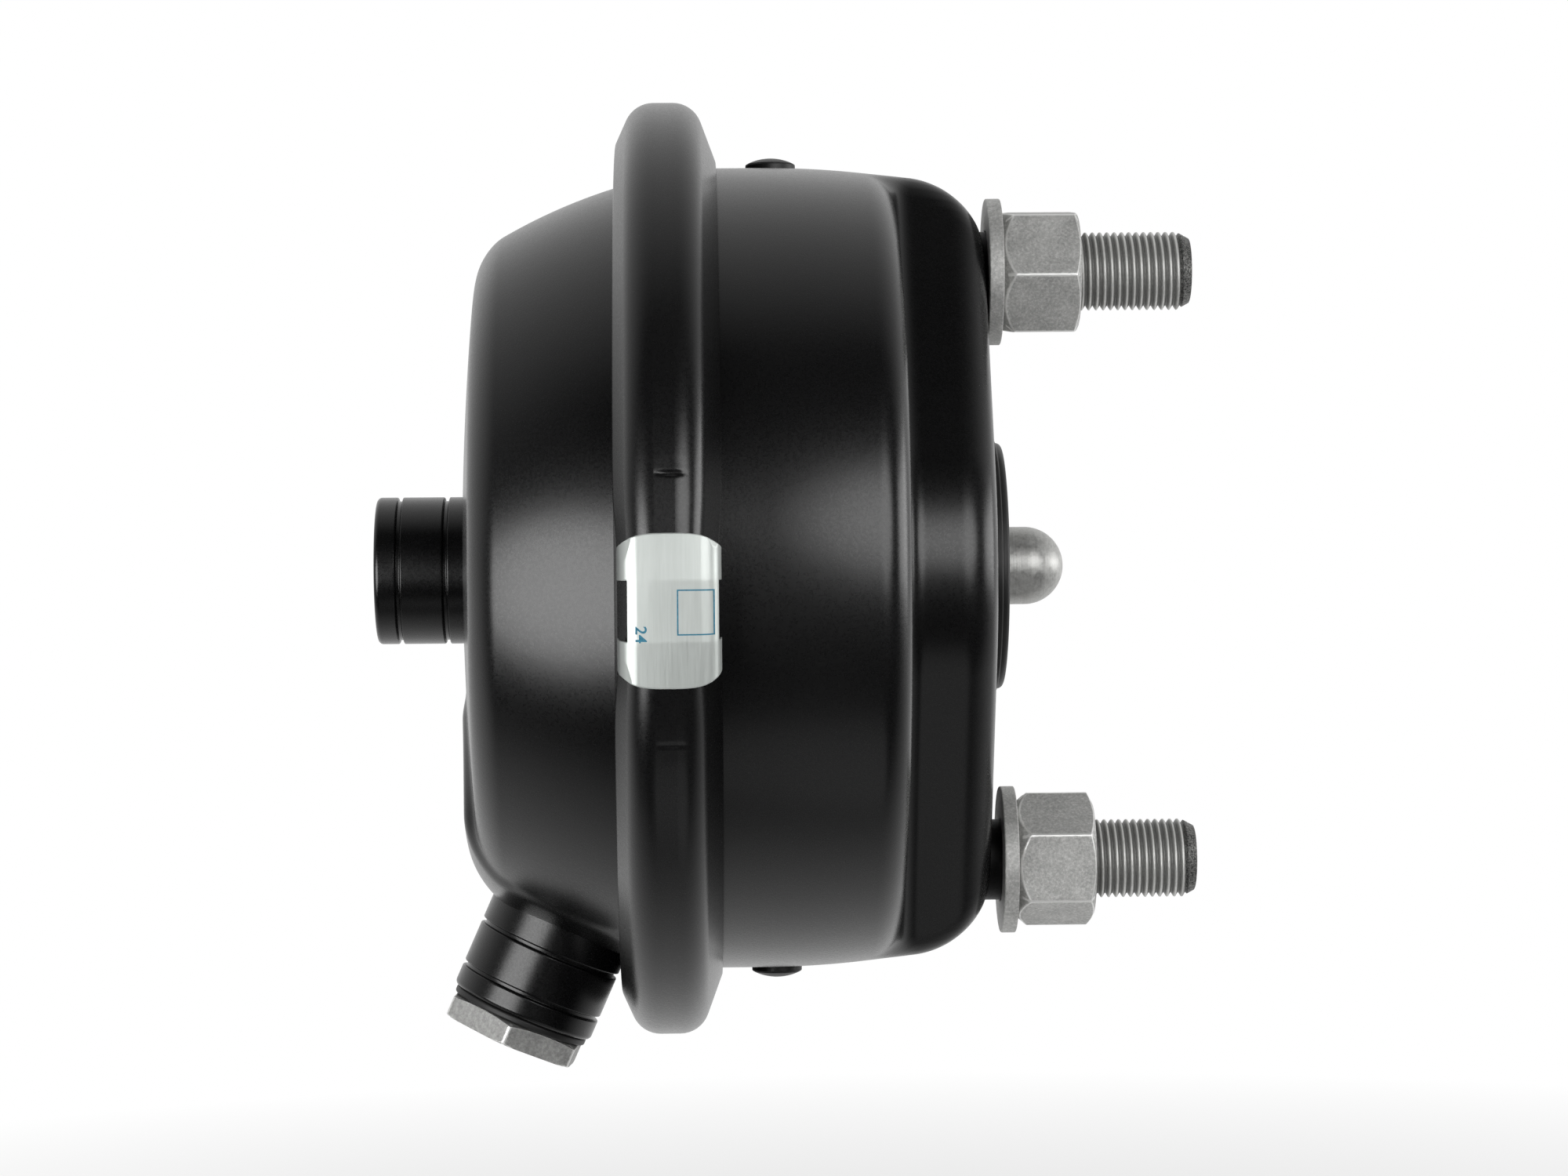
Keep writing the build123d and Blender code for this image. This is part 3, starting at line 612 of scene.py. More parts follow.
PAINT = satin_black_paint()
ZINC = flake_zinc("flake_zinc", 0.47, 1700)
GRAINY_ZINC = flake_zinc("grainy_zinc", 0.34, 1250)
THREAD = threaded_zinc()
ROD_STEEL = turned_steel()
SHEET = satin_sheet()
INK = blue_print()
RUBBER = moulded_rubber()
STEEL = plain_steel("pressed_steel", (0.30, 0.30, 0.31), 0.45)
SPRING_STEEL = plain_steel("oil_dark_spring_steel", (0.09, 0.09, 0.10), 0.38)


# ---- housings ----
def shell(solid, eye_x, side, r, mouth, rim_x, rows):
    """Grid of a housing: its outer skin by rays from the mouth to the rim, the rim, then the
    inner skin back, WALL inside. mouth is the opening's (x, r), side its side of the rim."""
    columns = 352
    mouth_in = (mouth[0] - side * WALL, mouth[1])
    rim_in = (RIM_X + side * BEAD_T / 2, r - WALL)
    out = np.linspace(*angles_to(eye_x, [mouth, (rim_x, r)]), rows)
    back = np.linspace(*angles_to(eye_x, [rim_in, mouth_in]), 60)
    outer = by_rays(solid, 0, eye_x, columns, out)
    inner = by_rays(solid, WALL, eye_x, columns, back)
    rim = rim_rows(side, r, r - WALL, columns)[:, 1:-1]
    return np.concatenate([outer, rim, inner], axis=1)


def can():
    """Can: a shell from the mouth round the sealing ring to the rim."""
    grid = shell(can_solid, CAN_EYE_X, 1, CAN_R, (0, MOUTH_R), RIM_X + 7.6, 190)
    obj = piece("can", grid, "chamber", PAINT)
    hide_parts("non_pressure_housing")


def cap():
    """Cap: a shell from the open port to the rim."""
    rim_x = RIM_X - BEAD_T / 2 - RIM_T - (RIM_R - CAP_R) * RIM_SLOPE
    grid = shell(cap_solid, CAP_EYE_X, -1, CAP_R, (CAP_BACK_X, PORT_BORE_R), rim_x, 180)
    obj = piece("cap", grid, "chamber", PAINT)
    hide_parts("pressure_housing")


def ring():
    """Clamp ring: an arch section with a groove for the rims, carried round.

    Beside the bright clip its flanks are drawn in by PINCH, a share that rises from 4 to 10
    mm off the middle plane, times 1 / (1 + e to the (distance along the ring from the clip's
    middle less PINCH_REACH) / PINCH_FADE). PRESS_AT mm to each side the crown is pressed in
    by PRESS_DEPTH, as a bell curve of PRESS_W along the ring.
    """
    groove = lambda side, r: RIM_X + side * (BEAD_T / 2 + RIM_T + (RIM_R - r) * RIM_SLOPE)
    crown = RIM_R + RING_GAP
    line = outline([
        (RIM_X - RING_CAP_HALF, RING_CAP_R, 0.5), (RIM_X - RING_CAP_HALF, RING_HIP_R, 2.0),
        (RIM_X - RING_CROWN_HALF, RING_R, RING_CORNER),
        (RIM_X + RING_CROWN_HALF, RING_R, RING_CORNER),
        (RIM_X + RING_CAN_HALF, RING_FOOT_R, 0.4), (RIM_X + RING_CAN_HALF, RING_CAN_R, 0.3),
        (groove(1, RING_CAN_R), RING_CAN_R, 0.4), (groove(1, crown), crown, 1.2),
        (groove(-1, crown), crown, 1.2), (groove(-1, RING_CAP_R), RING_CAP_R, 0.4),
    ], span=1.2)
    fine = np.linspace(math.pi - 0.22, math.pi + 0.40, 210)
    coarse = np.linspace(math.pi + 0.40, 3 * math.pi - 0.22, 250)[1:-1]
    grid = turned(line, np.concatenate([fine, coarse])[:, None])
    along = (np.arctan2(-grid[..., 1], grid[..., 2]) - math.pi / 2) * -RING_R - TAG_Z
    near = 1 / (1 + np.exp((np.abs(along) - PINCH_REACH) / PINCH_FADE))
    x = grid[..., 0] - RIM_X
    outside = np.clip((np.hypot(grid[..., 1], grid[..., 2]) - RING_CAP_R) / 4, 0, 1)
    wide = np.clip((np.abs(x) - 4.0) / 6.0, 0, 1)
    grid[..., 0] -= np.sign(x) * PINCH * near * outside * wide
    across = np.clip(2 - np.abs(x - PRESS_X) / 1.3, 0, 1) * np.where(along > 0, 1.0, 0.45)
    past = np.abs(along) - PRESS_AT
    press = np.exp(-((past / PRESS_W) ** 2)) + 0.12 * np.exp(-(((past - 1.5) / 1.5) ** 2))
    crowned = np.clip(np.hypot(grid[..., 1], grid[..., 2]) - RING_R + 2, 0, 1)
    shrink = 1 - PRESS_DEPTH * press * across * crowned / RING_R
    grid[..., 1:] *= shrink[..., None]
    obj = piece("ring", grid, "chamber", PAINT)
    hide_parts("clamp_ring")


def stud_plate():
    """Plate inside the flange: for each turn a section from the bore out to the flange's
    outline less the can's wall and a gap, and to the drum less 1.2 mm more; its outer front
    edge is rounded by PLATE_EDGE as the can is inside. The flange's outline is FLANGE_HALF
    over the cosine of what the turn from Y has over FLANGE_LEAN."""
    inset = WALL + 0.4
    t = even_turns(256)
    lean = math.radians(FLANGE_LEAN)
    off_y = np.arccos(np.abs(np.cos(t)))
    out = (FLANGE_HALF - inset) / np.cos(np.maximum(off_y - lean, 0))
    out = np.minimum(out, CAN_SHOULDER_R - inset - 1.2)
    start = math.asin((PLATE_BACK_X + WALL + PLATE_EDGE) / PLATE_EDGE)
    a = np.linspace(start, 1.42, 12)[None, :]
    x = -WALL - PLATE_EDGE + PLATE_EDGE * np.sin(a) + 0 * t
    r = out - PLATE_EDGE * (1 - np.cos(a))
    one = np.ones_like(out)
    x = np.concatenate([PLATE_BACK_X * one, x, x[:, -1:]], axis=1)
    r = np.concatenate([PLATE_BORE_R * one, r, PLATE_BORE_R * one], axis=1)
    obj = piece("stud_plate_pressed", carried(x, r, t), "chamber", STEEL)
    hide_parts("stud_plate")


# ---- ports ----
def boss(angled):
    """Port boss: an outline with two grooves and a plain bore carried round, its foot sunk in
    the cap's wall."""
    corners = [(-PORT_SUNK, PORT_BORE_R), (-PORT_SUNK, PORT_R)]
    for cut in PORT_CUTS:
        low, high, deep = cut - PORT_CUT_W / 2, cut + PORT_CUT_W / 2, PORT_R - PORT_CUT_D
        corners += [(low, PORT_R, 0.25), (low + 0.1, deep, 0.2)]
        corners += [(high - 0.1, deep, 0.2), (high, PORT_R, 0.35)]
    corners += [(PORT_H, PORT_R, 1.0), (PORT_H, PORT_BORE_R + 0.8, 0.2)]
    corners += [(PORT_H - 0.9, PORT_BORE_R)]
    line = outline(corners, span=1.0)
    name = "angled_port_boss" if angled else "axial_port_boss"
    obj = piece(name + "_skin", port_grid(turned(line, 160), angled), "chamber", PAINT)
    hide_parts(name)


def hexagon(across, line, turn):
    """Grid of a bar whose section is a hexagon with slightly rounded corners, no wider than
    the (x, r) outline lets it be: r is the smaller of the outline's and the hexagon's, which
    is half the width over the root of the sum of the powers of the cosines to its flats, both
    to a high power. With it comes a share of worn zinc and painted edge highlight, 1 on a
    corner and falling off within half a mm, and also along the edge where a cone cuts the flats."""
    sharp = 90
    t = even_turns(288)
    total = 0
    for k in range(6):
        lean = np.cos(t - math.radians(turn) - k * TAU / 6)
        total = total + np.maximum(lean, 0) ** sharp
    hexed = across / 2 / total ** (1 / sharp)
    x, r = line[None, :, 0], line[None, :, 1]
    limit = np.minimum(r, hexed)
    off_corner = np.abs((t - math.radians(turn)) % (TAU / 6) - TAU / 12) * across / math.sqrt(3)
    # corners and cone-cut edges: worn zinc and a painted edge highlight
    wear_and_painted_light = np.exp(-((off_corner / 0.45) ** 2)) * (limit > across / 2 * 1.02)
    rim = np.exp(-(((r - hexed) / 0.35) ** 2)) * (r > across / 2 * 0.9) * 0.8
    return carried(x, limit, t), np.maximum(wear_and_painted_light, rim)


def hex_line(across, low, high, bore, low_share, high_share):
    """Outline of a bored bar with a cone at each end that cuts a hexagon's corners; a share
    of 1 is a cone that starts just inside the flats and cuts the corners by its 30 degrees."""
    flat, reach = across / 2 * NUT_FLAT, across / math.sqrt(3) + 0.3
    drop = (reach - flat) * CONE
    return outline([
        (low, bore), (low, flat, 0.15), (low + drop * low_share, reach),
        (high - drop * high_share, reach), (high, flat, 0.15),
        (high, bore + 0.9, 0.1), (high - 0.8, bore),
    ], span=0.22)


def plug_and_seal():
    """Hex plug with a plain shank, over a thin washer; one of its corners is in front."""
    low, high = PORT_H + SEAL_T, PORT_H + SEAL_T + PLUG_H
    flat, reach = PLUG_AF / 2 * PLUG_FLAT, PLUG_AF / math.sqrt(3) + 0.3
    line = outline([
        (low - PLUG_SHANK, 0), (low - PLUG_SHANK, PORT_BORE_R), (low, PORT_BORE_R),
        (low, flat, 0.15), (low + (reach - flat) * CONE * 0.5, reach),
        (high - 0.6, reach), (high, reach - 1.4, 0.1), (high, 0),
    ], closed=False, span=0.22)
    grid, wear_and_painted_light = hexagon(PLUG_AF, line, 30 - PLUG_TURN)
    place = port_grid(grid, True)
    obj = piece("hex_plug", place, "chamber", GRAINY_ZINC, wrap_v=False, wear_and_painted_light=wear_and_painted_light)
    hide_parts("port_plug")
    ring_line = outline([
        (PORT_H, PORT_BORE_R), (PORT_H, SEAL_R, 0.5),
        (PORT_H + SEAL_T, SEAL_R, 0.5), (PORT_H + SEAL_T, PORT_BORE_R),
    ])
    obj = piece("plug_washer", port_grid(turned(ring_line, 128), True), "chamber", RUBBER)
    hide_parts("port_plug_seal")


# ---- studs, washers, nuts ----
def thread_radius(x, t, start, end):
    """M16 x 1.5 helix: a ridge with sloping sides, its phase x over pitch less the share of a
    turn, faded in over one pitch, and no wider than the end's rounded edge and the slight
    taper before it."""
    phase = (x / PITCH - t / TAU) % 1
    ridge = np.clip(1.2 - 2.6 * np.abs(phase - 0.5), 0.0, 1.0)
    fade = np.clip((x - start) / PITCH, 0, 1)
    r = STUD_R - THREAD_DEPTH * (1 - ridge) * fade
    rounded = np.sqrt(np.maximum(0, STUD_END_R**2 - np.maximum(0, x - end + STUD_END_R) ** 2))
    taper = STUD_R - STUD_TAPER * np.maximum(x - end + STUD_TAPER_FROM, 0)
    return np.minimum(np.minimum(r, STUD_R - 1.9 + rounded * 0.8), taper)


def stud(name, side, lift):
    """Stud: head, plain shank, then the free thread with its rounded end."""
    thread_x = lift + WASHER_T + NUT_H - 1.5
    steps = 120
    t = even_turns(steps)
    plain = outline([
        (STUD_HEAD_X, 0), (STUD_HEAD_X, STUD_HEAD_R, 0.8), (STUD_SEAT_X, STUD_HEAD_R, 0.4),
        (STUD_SEAT_X, STUD_SHANK_R), (lift + WASHER_T - 0.5, STUD_SHANK_R),
        (lift + WASHER_T, STUD_NECK_R), (thread_x - 0.3, STUD_NECK_R), (thread_x, STUD_R),
    ], closed=False, span=3)
    x = np.arange(thread_x + 0.1, STUD_TIP_X, PITCH / 12)[None, :]
    free = carried(x, thread_radius(x, t, thread_x, STUD_TIP_X), t)
    end_r = np.array([0.96, 0.7, 0.35, 0.0]) * (STUD_R - 1.7)
    end = turned(np.stack([np.full(4, STUD_TIP_X), end_r], axis=1), steps)
    grid = np.concatenate([turned(plain, steps), free, end], axis=1)
    height = np.hypot(grid[..., 1], grid[..., 2]) - STUD_R + THREAD_DEPTH
    # the thread's height: painted shade in the grooves, wear on the crests
    wear_and_painted_light = np.clip(height / THREAD_DEPTH, 0, 1) ** 2
    place = raised(grid, side * STUD_Z)
    obj = piece(f"stud_{name}_thread", place, "chamber", THREAD, wrap_v=False, wear_and_painted_light=wear_and_painted_light)
    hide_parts(f"stud_{name}")


def washer(name, side, lift):
    """Washer: a rounded rectangle carried round."""
    line = outline([
        (lift, WASHER_BORE_R, 0.2), (lift, WASHER_R, 0.35),
        (lift + WASHER_T, WASHER_R, 0.25), (lift + WASHER_T, WASHER_BORE_R, 0.3),
    ])
    grid = raised(turned(line, 160), side * STUD_Z)
    obj = piece(f"washer_{name}_skin", grid, "chamber", ZINC)
    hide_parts(f"washer_{name}")


def nut(name, side, lift, turn):
    """Nut: a bored hexagon with deeper cones on the washer's side."""
    low = lift + WASHER_T
    line = hex_line(NUT_AF, low, low + NUT_H, NUT_BORE_R, 1.9, 0.9)
    grid, wear_and_painted_light = hexagon(NUT_AF, line, 210 + turn)
    obj = piece(f"nut_{name}_skin", raised(grid, side * STUD_Z), "chamber", ZINC, wear_and_painted_light=wear_and_painted_light)
    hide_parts(f"nut_{name}")


# ---- clip, seal, rod ----
def clip_skin(along, share, lift=0.0):
    """Point on the clip's outside: along is mm round the ring from the clip's middle, share
    runs from -1 to 1 over the arch from one leg's end to the other's.

    The arch is the lower of two forms: a superellipse of half width TAG_W, power ARCH and
    height from TAG_LEG_R to the crown, and a nearly flat back that falls off at 45 degrees
    beyond two creases. The creases run inwards from beside the notches to the ends. Along
    the ring the back is three flats, each lower than the ring's curve by its rise over half
    its length.
    """
    turn = share * math.pi / 2
    wide = np.sign(turn) * np.abs(np.sin(turn)) ** ARCH
    high = np.abs(np.cos(turn)) ** ARCH
    crown = RING_R + TAG_T
    x = TAG_W * wide
    reach = np.clip((np.abs(along) - TAG_NOTCH) / 7.5, 0, 1)
    right = 9.5 - np.where(along > 0, 2.5, 1.2) * reach
    crease = np.where(x > 0, right, 8.1 - 1.3 * reach)
    past = np.abs(x) - crease
    fold = 0.5 * (past + np.hypot(past, 0.25))
    back = crown - 0.35 * (x / 8) ** 2 - fold
    half = (TAG_HALF - TAG_NOTCH) / 2
    inner = TAG_NOTCH**2 - along**2
    outer = half**2 - (np.abs(along) - TAG_NOTCH - half) ** 2
    flats = np.where(np.abs(along) < TAG_NOTCH, inner, np.maximum(outer, 0)) / (2 * RING_R)
    r = np.minimum(TAG_LEG_R + (crown - TAG_LEG_R) * high, back) - flats + lift
    angle = (TAG_Z + along) / RING_R
    x = TAG_X + x + lift * wide + 0 * angle
    return np.stack([x, -r * np.cos(angle), r * np.sin(angle)], axis=-1)


def share_at(x):
    """Share along the clip's arch at a distance x in mm from the ring's middle."""
    wide = np.clip(np.abs(x) / TAG_W, 0, 1)
    return np.sign(x) * np.arcsin(wide ** (1 / ARCH)) / (math.pi / 2)


def clip():
    """Bright clip: a strip bent over the ring, its ends bowed out and its legs cut back in
    the middle, more on one side, given its thickness by Solidify.

    Each end is drawn in towards its corners by TAG_BOW of its distance, times x over the
    half width to the power 3.5, times the cube of the distance over TAG_HALF."""
    along = np.concatenate([
        np.linspace(-TAG_HALF, -TAG_NOTCH, 30), np.linspace(-TAG_NOTCH, TAG_NOTCH, 30)[1:-1],
        np.linspace(TAG_NOTCH, TAG_HALF, 30)])[:, None]
    left, right, leg = float(share_at(-NOTCH_LEFT)), float(share_at(NOTCH_RIGHT)), 0.93
    share = np.concatenate([
        np.linspace(-leg, left, 36), np.linspace(left, right, 90)[1:-1],
        np.linspace(right, leg, 24)])[None, :]
    x = np.abs(np.sin(share * math.pi / 2)) ** ARCH
    bow = 1 - TAG_BOW * x**3.5 * (np.abs(along) / TAG_HALF) ** 3
    points = clip_skin(along * bow, share)
    columns, rows = points.shape[:2]
    index = np.arange(columns * rows).reshape(columns, rows)
    quads = np.stack([index[:-1, :-1], index[1:, :-1], index[1:, 1:], index[:-1, 1:]], axis=-1)
    notched = np.abs((along[1:] + along[:-1]) / 2) < TAG_NOTCH
    middle = (share[:, 1:] + share[:, :-1]) / 2
    quads = quads[~(notched & ((middle < left) | (middle > right)))]
    mesh = bpy.data.meshes.new("bright_clip")
    used = np.unique(quads)
    spots = (points.reshape(-1, 3)[used] * MM).tolist()
    mesh.from_pydata(spots, [], np.searchsorted(used, quads).tolist())
    obj = settle("bright_clip", mesh, "chamber", SHEET)
    normal = np.array(mesh.polygons[len(mesh.polygons) // 2].normal)
    if normal[1] > 0:
        mesh.flip_normals()
    wall = obj.modifiers.new("wall", "SOLIDIFY")
    wall.thickness = TAG_T * MM
    wall.offset = -1
    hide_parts("rating_plate")


def corners_of(mesh):
    """Vertices of a mesh as rows of an array."""
    points = np.empty(len(mesh.vertices) * 3)
    mesh.vertices.foreach_get("co", points)
    return points.reshape(-1, 3)


def on_clip(name, flat):
    """Lays a flat mesh, given as mm along the clip and share over its arch, onto its skin."""
    points = corners_of(flat)
    laid = clip_skin(points[:, 0], points[:, 1], lift=0.03)
    flat.vertices.foreach_set("co", (laid.reshape(-1) * MM).astype(np.float32))
    flat.update()
    facing = np.empty(len(flat.polygons) * 3)
    flat.polygons.foreach_get("normal", facing)
    if facing[1::3].sum() > 0:
        flat.flip_normals()
    flat.polygons.foreach_set("use_smooth", [False] * len(flat.polygons))
    placed(name, flat, "chamber", INK)


def clip_print():
    """Blue size number, read down the clip, and an empty blue frame beside it. The number is
    a text's outline scaled to its width and height and turned a quarter; the frame is two
    rectangles, one a line's width inside the other, joined."""
    curve = bpy.data.curves.new("size_number", "FONT")
    curve.body = "24"
    curve.size = 3.1
    curve.offset = 0.045
    curve.resolution_u = 6
    text = bpy.data.objects.new("size_number_curve", curve)
    flat = bpy.data.meshes.new_from_object(text)
    bpy.data.objects.remove(text)
    work = bmesh.new()
    work.from_mesh(flat)
    bmesh.ops.remove_doubles(work, verts=work.verts, dist=1e-5)
    bmesh.ops.triangulate(work, faces=work.faces)
    bmesh.ops.subdivide_edges(work, edges=work.edges, cuts=1)
    work.to_mesh(flat)
    work.free()
    spots = corners_of(flat)
    x, y = (spots[:, :2] / np.ptp(spots[:, :2], axis=0) * (3.05, 2.1)).T
    laid = np.stack([-2.7 - (x - x.min()), share_at(-6.2 + (y - y.min())), 0 * x], axis=1)
    flat.vertices.foreach_set("co", laid.reshape(-1).astype(np.float32))
    on_clip("size_number", flat)

    half = np.array([4.2, 3.45])
    middle, line = np.array([-0.2, 4.85]), 0.26
    side = np.linspace(-1, 1, 33)[:-1]
    one = np.ones(32)
    sides = ((side, one), (one, -side), (-side, -one), (-one, side))
    rounds = np.concatenate([np.stack(pair, axis=1) for pair in sides])
    spots = np.concatenate([rounds * half, rounds * (half - line)]) + middle
    spots[:, 1] = share_at(spots[:, 1])
    here = np.arange(len(rounds))
    ahead = np.roll(here, -1)
    faces = np.stack([here, ahead, ahead + len(rounds), here + len(rounds)], axis=-1)
    frame_mesh = bpy.data.meshes.new("print_frame")
    spots = np.column_stack([spots, np.zeros(len(spots))])
    frame_mesh.from_pydata(spots.tolist(), [], faces.tolist())
    on_clip("print_frame", frame_mesh)


def vent(name, side):
    """Rubber vent plug: a stem in the can's wall under a thin edged, domed head, whose height
    is VENT_DOME times the power 0.9 of what the radius' squared share leaves of 1."""
    top = CAN_R + VENT_RISE
    spread = np.linspace(1, 0, 14)
    dome = np.stack([top + VENT_DOME * (1 - spread**2) ** 0.9, VENT_HEAD_R * spread], axis=1)
    stem = outline([
        (CAN_R - WALL - 1.5, 0), (CAN_R - WALL - 1.5, VENT_R, 0.4), (CAN_R - 0.9, VENT_R),
        (CAN_R - 0.9, VENT_HEAD_R + 0.1), (top, VENT_HEAD_R + 0.1, 0.2), (top, VENT_HEAD_R),
    ], closed=False, span=0.6)
    grid = turned(np.concatenate([stem, dome[1:]]), 96)
    place = np.stack([VENT_X + grid[..., 1], grid[..., 2], side * grid[..., 0]], axis=-1)
    obj = piece(f"vent_{name}_head", place, "chamber", RUBBER, wrap_v=False)
    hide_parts(f"vent_plug_{name}")


def bellows():
    """Bellows: rounded folds between a flat ring behind the mouth and a neck on the rod, an
    outline that goes out over the folds and back BELLOWS_T inside them."""
    last, end = BELLOWS_LAST_X, BELLOWS_LAST_X - BELLOWS_NECK_W
    step = (last - BELLOWS_FIRST_X) / (2 * BELLOWS_FOLDS)
    outer = [(BELLOWS_RING_X, BELLOWS_R, 1.0)]
    for i in range(1, 2 * BELLOWS_FOLDS):
        r = BELLOWS_ROOT_R if i % 2 else BELLOWS_R
        outer.append((BELLOWS_FIRST_X + i * step, r, BELLOWS_FOLD_EDGE))
    inner = [(x, r - BELLOWS_T, BELLOWS_FOLD_EDGE) for x, r, _ in outer]
    inner[0] = (-WALL, BELLOWS_R - BELLOWS_T)
    wide = [(-WALL, BELLOWS_RING_R, 0.3), (BELLOWS_RING_X, BELLOWS_RING_R, 0.3)]
    neck = [
        (last - BELLOWS_T, BELLOWS_ROOT_R, 0.5), (last - BELLOWS_T, BELLOWS_NECK_R, 0.5),
        (end, BELLOWS_NECK_R, 0.3), (end, ROD_R), (last, ROD_R),
        (last, BELLOWS_ROOT_R - BELLOWS_T, 0.5),
    ]
    line = outline(wide + outer + neck + inner[::-1], span=0.8)
    obj = piece("bellows", turned(line, 144), None, RUBBER)
    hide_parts("gaiter")
    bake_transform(obj)


def skin():
    """Diaphragm: bead, rolled wall and disc as one moulded outline carried round."""
    line = turned(outline(SKIN_LINE), 160)
    obj = piece("rubber_diaphragm", line, None, RUBBER)
    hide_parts("diaphragm")
    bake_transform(obj)


def coil():
    """Return spring: wire round a cone with a flat end coil at each end. Its middle goes
    round at a steady rate, and its place and radius go straight from the plate's to the
    flange's between the end coils; round it stands a circle of half WIRE, square to it."""
    total = COIL_TURNS + 2 * COIL_FLAT
    turns = np.linspace(0, total, round(total * 64) + 1)
    share = np.clip((turns - COIL_FLAT) / COIL_TURNS, 0, 1)
    radius = COIL_PLATE_R + (COIL_FLANGE_R - COIL_PLATE_R) * share
    x = COIL_PLATE_X + (COIL_FLANGE_X - COIL_PLATE_X) * share
    middle = carried(x, radius, TAU * turns)
    ahead = np.gradient(middle, axis=0)
    ahead /= np.linalg.norm(ahead, axis=1, keepdims=True)
    out = middle * np.array([0, 1, 1])
    out -= ahead * np.sum(out * ahead, axis=1, keepdims=True)
    out /= np.linalg.norm(out, axis=1, keepdims=True)
    side = np.cross(ahead, out)
    around = np.linspace(0, TAU, 20, endpoint=False)[:, None, None]
    tube = middle + WIRE / 2 * (np.cos(around) * out + np.sin(around) * side)
    none = 0 * tube[:, :1]
    grid = np.concatenate([middle[:1] + none, tube, middle[-1:] + none], axis=1)
    obj = piece("coil_spring", grid, "chamber", SPRING_STEEL, wrap_v=False)
    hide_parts("return_spring")
    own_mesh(obj)


def sealing_ring():
    """Sealing ring: a stepped lip in front of the face on a tube in the can's mouth, one
    outline carried round."""
    line = outline([
        (-WALL, LIP_BORE_R), (-WALL, MOUTH_R), (0, MOUTH_R), (0, LIP_R, 0.1), (LIP_STEP, LIP_R, 0.4),
        (LIP_STEP, LIP_STEP_R, 0.15), (LIP_H, LIP_STEP_R, 1.1), (LIP_H, LIP_BORE_R, 0.6),
    ], span=0.8)
    obj = piece("face_seal", turned(line, 192), "chamber", RUBBER)
    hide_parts("sealing_ring")


def rod():
    """Rod with a ball end: one outline from the inner end's middle to the tip, the last of it
    a quarter circle of ROD_R, carried round."""
    ball_x = ROD_TIP_X - ROD_R
    line = outline([(ROD_BACK_X, 0), (ROD_BACK_X, ROD_R), (ball_x, ROD_R)], closed=False)
    a = np.linspace(0, math.pi / 2, 24)[1:]
    ball = np.stack([ball_x + ROD_R * np.sin(a), ROD_R * np.cos(a)], axis=1)
    grid = turned(np.concatenate([line, ball]), 160)
    obj = piece("ball_ended_rod", grid, "rod", ROD_STEEL, wrap_v=False)
    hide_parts("push_rod")


# ---- what stays as packed ----
def finish_nodes():
    """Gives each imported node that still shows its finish."""
    finishes = {
        "push_plate": STEEL, "spring_seat": STEEL, "gaiter_keeper": STEEL, "gaiter_clip": ZINC,
    }
    for name, material in finishes.items():
        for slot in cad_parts[name].material_slots:
            slot.material = material


# ---- studio ----
def studio():
    """White to the camera. As a light it is dim in front and grows to white behind the
    object and a little above, below and on the left: its share goes from 0 to 1 over
    SKY_RANGE of Y + SKY_UP |Z| - SKY_ALONG X of the direction, less SCREEN_DEPTH times what
    the cosine to SCREEN_WAY has over SCREEN_COSINE, a dark screen low on the left. Gloss
    and clear things see the white itself by the same share."""
    world = bpy.data.worlds.new("studio")
    bpy.context.scene.world = world
    world.use_nodes = True
    g = Graph(world.node_tree)
    way = g.node("TexCoord").outputs["Generated"]
    up = g.maths("MULTIPLY", g.maths("ABSOLUTE", g.axis(way, "Z")), SKY_UP)
    lean = g.maths("ADD", g.axis(way, "Y"), up)
    lean = g.maths("SUBTRACT", lean, g.maths("MULTIPLY", g.axis(way, "X"), SKY_ALONG))
    toward = g.node("VectorMath")
    toward.operation = "DOT_PRODUCT"
    g.give(toward.inputs[0], way)
    g.give(toward.inputs[1], Vector(SCREEN_WAY).normalized())
    screen = g.maths("SUBTRACT", toward.outputs["Value"], SCREEN_COSINE)
    screen = g.maths("MULTIPLY", g.maths("MAXIMUM", screen, 0.0), SCREEN_DEPTH)
    share = g.between(g.maths("SUBTRACT", lean, screen), *SKY_RANGE)
    light = g.tree.nodes["Background"]
    g.give(light.inputs["Color"], (1, 1, 1, 1))
    g.give(light.inputs["Strength"], g.maths("MULTIPLY", share, SKY_LIGHT))
    white = g.node("Background", Color=(1, 1, 1, 1), Strength=1.0)
    g.show(g.seen(share), light, white, "World Output")


def lamp(name, turn, rise, distance, size, radiance, shape):
    """Soft box seen from the object at a turn and rise from the front, in degrees. Its power
    is pi times its radiance times its area; an ellipse's is a quarter pi of its sides'."""
    data = bpy.data.lights.new(name, "AREA")
    data.shape = shape
    data.size, data.size_y = size
    area = size[0] * size[1] * (math.pi / 4 if shape == "ELLIPSE" else 1)
    data.energy = radiance * math.pi * area
    obj = linked(name, data)
    t, e = math.radians(turn), math.radians(rise)
    way = Vector((math.sin(t) * math.cos(e), -math.cos(t) * math.cos(e), math.sin(e)))
    place = Matrix.Translation(Vector(LAMPS_AIM) + way * distance)
    obj.matrix_world = place @ way.to_track_quat("Z", "Y").to_matrix().to_4x4()
    obj.visible_camera = False


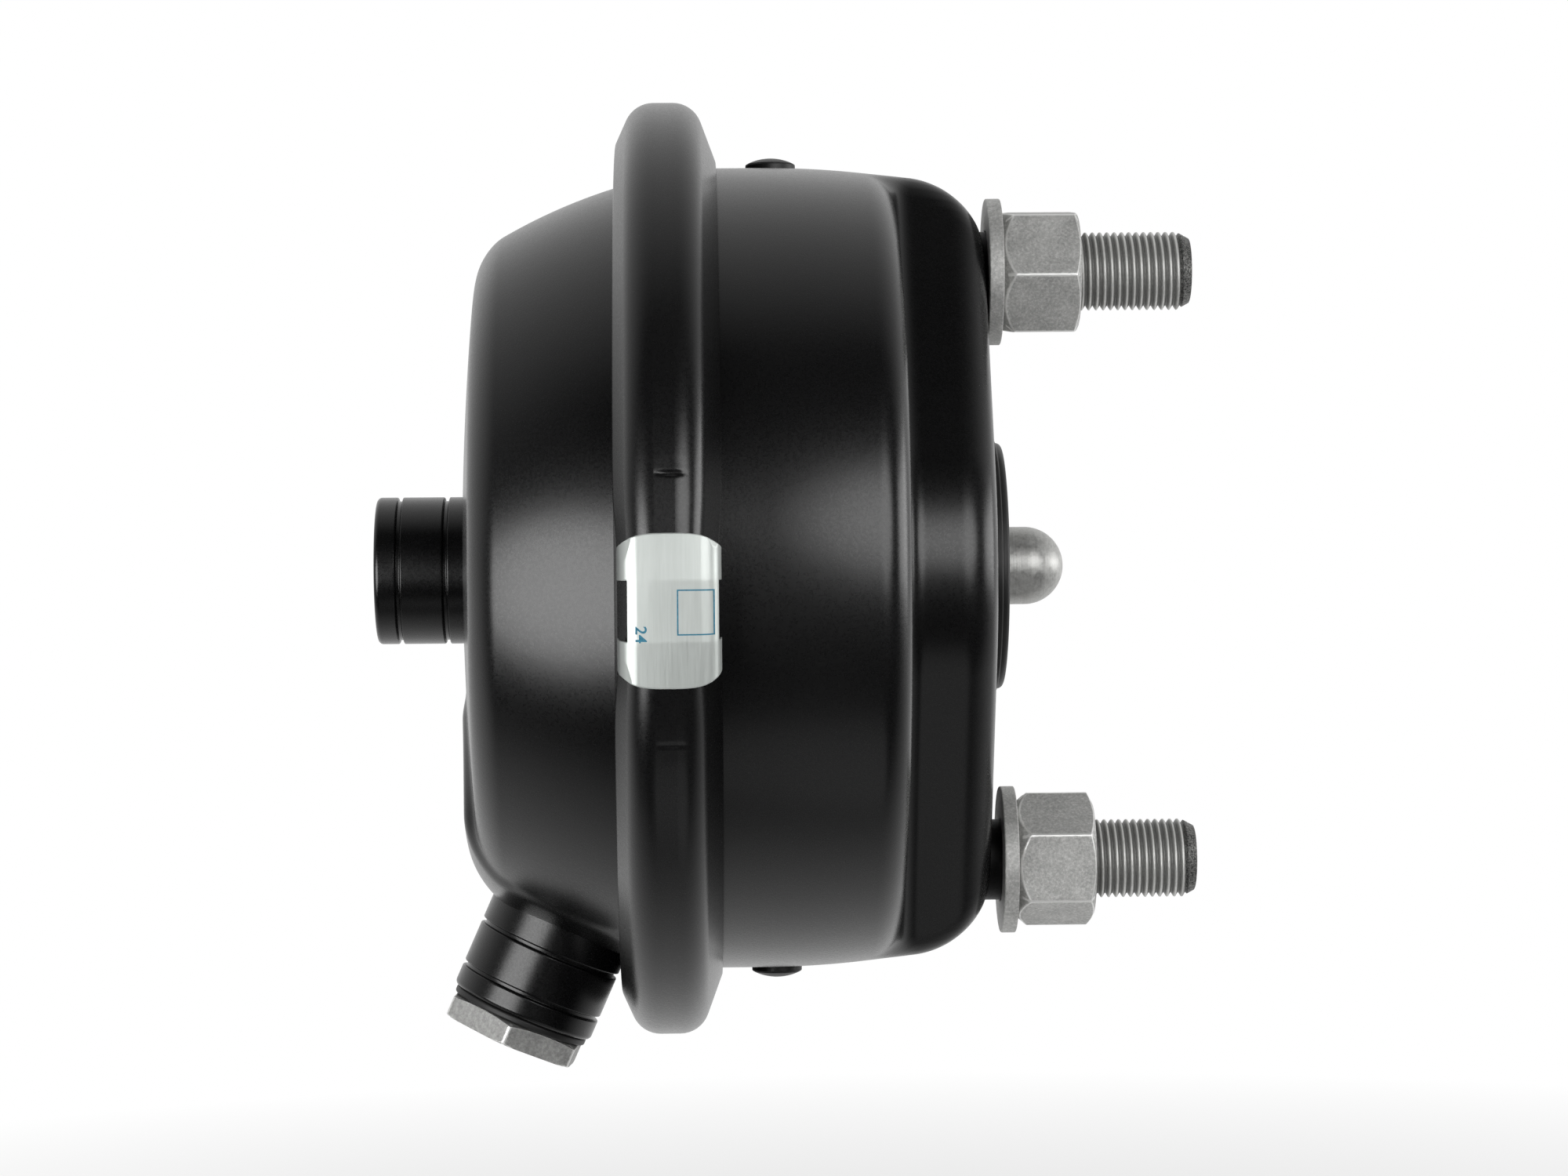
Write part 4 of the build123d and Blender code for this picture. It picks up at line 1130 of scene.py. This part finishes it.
def floor():
    """Pale floor. To the camera it goes over to plain white away from the object, and keeps
    the object's shadow near it: white's share goes from 0.6 to 1 over FLOOR_FADE of the
    distance from the middle. Its material gives gloss the white only behind the object, but
    the floor is hidden from gloss."""
    mesh = bpy.data.meshes.new("floor")
    far, z = FLOOR_REACH, FLOOR_Z
    corners = [(-far, -far, z), (far, -far, z), (far, far, z), (-far, far, z)]
    mesh.from_pydata(corners, [], [(0, 1, 2, 3)])
    material = bpy.data.materials.new("pale_floor")
    material.use_nodes = True
    g = Graph(material.node_tree)
    shader = g.tree.nodes["Principled BSDF"]
    shader.inputs["Base Color"].default_value = (0.9, 0.9, 0.9, 1)
    shader.inputs["Roughness"].default_value = 0.9
    coords = g.node("TexCoord").outputs["Object"]
    length = g.node("VectorMath")
    length.operation = "LENGTH"
    g.give(length.inputs[0], coords)
    away = g.between(length.outputs["Value"], *FLOOR_FADE, 0.6, 1.0)
    behind = g.between(g.axis(coords, "Y"), *FLOOR_BEHIND)
    share = g.maths("MULTIPLY", g.seen(behind), away)
    g.show(share, shader, g.node("Emission", Strength=1.0), "Material Output")
    mesh.materials.append(material)
    obj = linked("floor", mesh)
    obj.visible_glossy = False


def camera():
    """Long lens level with the axis, turned a little so that the rod's end is further off."""
    data = bpy.data.cameras.new("camera")
    data.sensor_width = 36
    data.lens = CAMERA_LENS
    data.clip_start, data.clip_end = 0.01, 50
    obj = linked("camera", data)
    yaw, roll = math.radians(CAMERA_YAW), math.radians(CAMERA_ROLL)
    forward = Vector((math.sin(yaw), math.cos(yaw), 0))
    turn = forward.to_track_quat("-Z", "Y").to_matrix().to_4x4()
    obj.matrix_world = Matrix.Translation(CAMERA_AT) @ turn @ Matrix.Rotation(roll, 4, "Z")
    bpy.context.scene.camera = obj


can()
cap()
ring()
stud_plate()
boss(False)
boss(True)
plug_and_seal()
for name, side, lift, turn in FASTENERS:
    stud(name, side, lift)
    washer(name, side, lift)
    nut(name, side, lift, turn)
clip()
clip_print()
vent("upper", 1)
vent("lower", -1)
sealing_ring()
rod()
bellows()
skin()
coil()
finish_nodes()
studio()
for row in LAMPS:
    lamp(*row)
floor()
camera()
bpy.context.scene.view_settings.view_transform = "Standard"
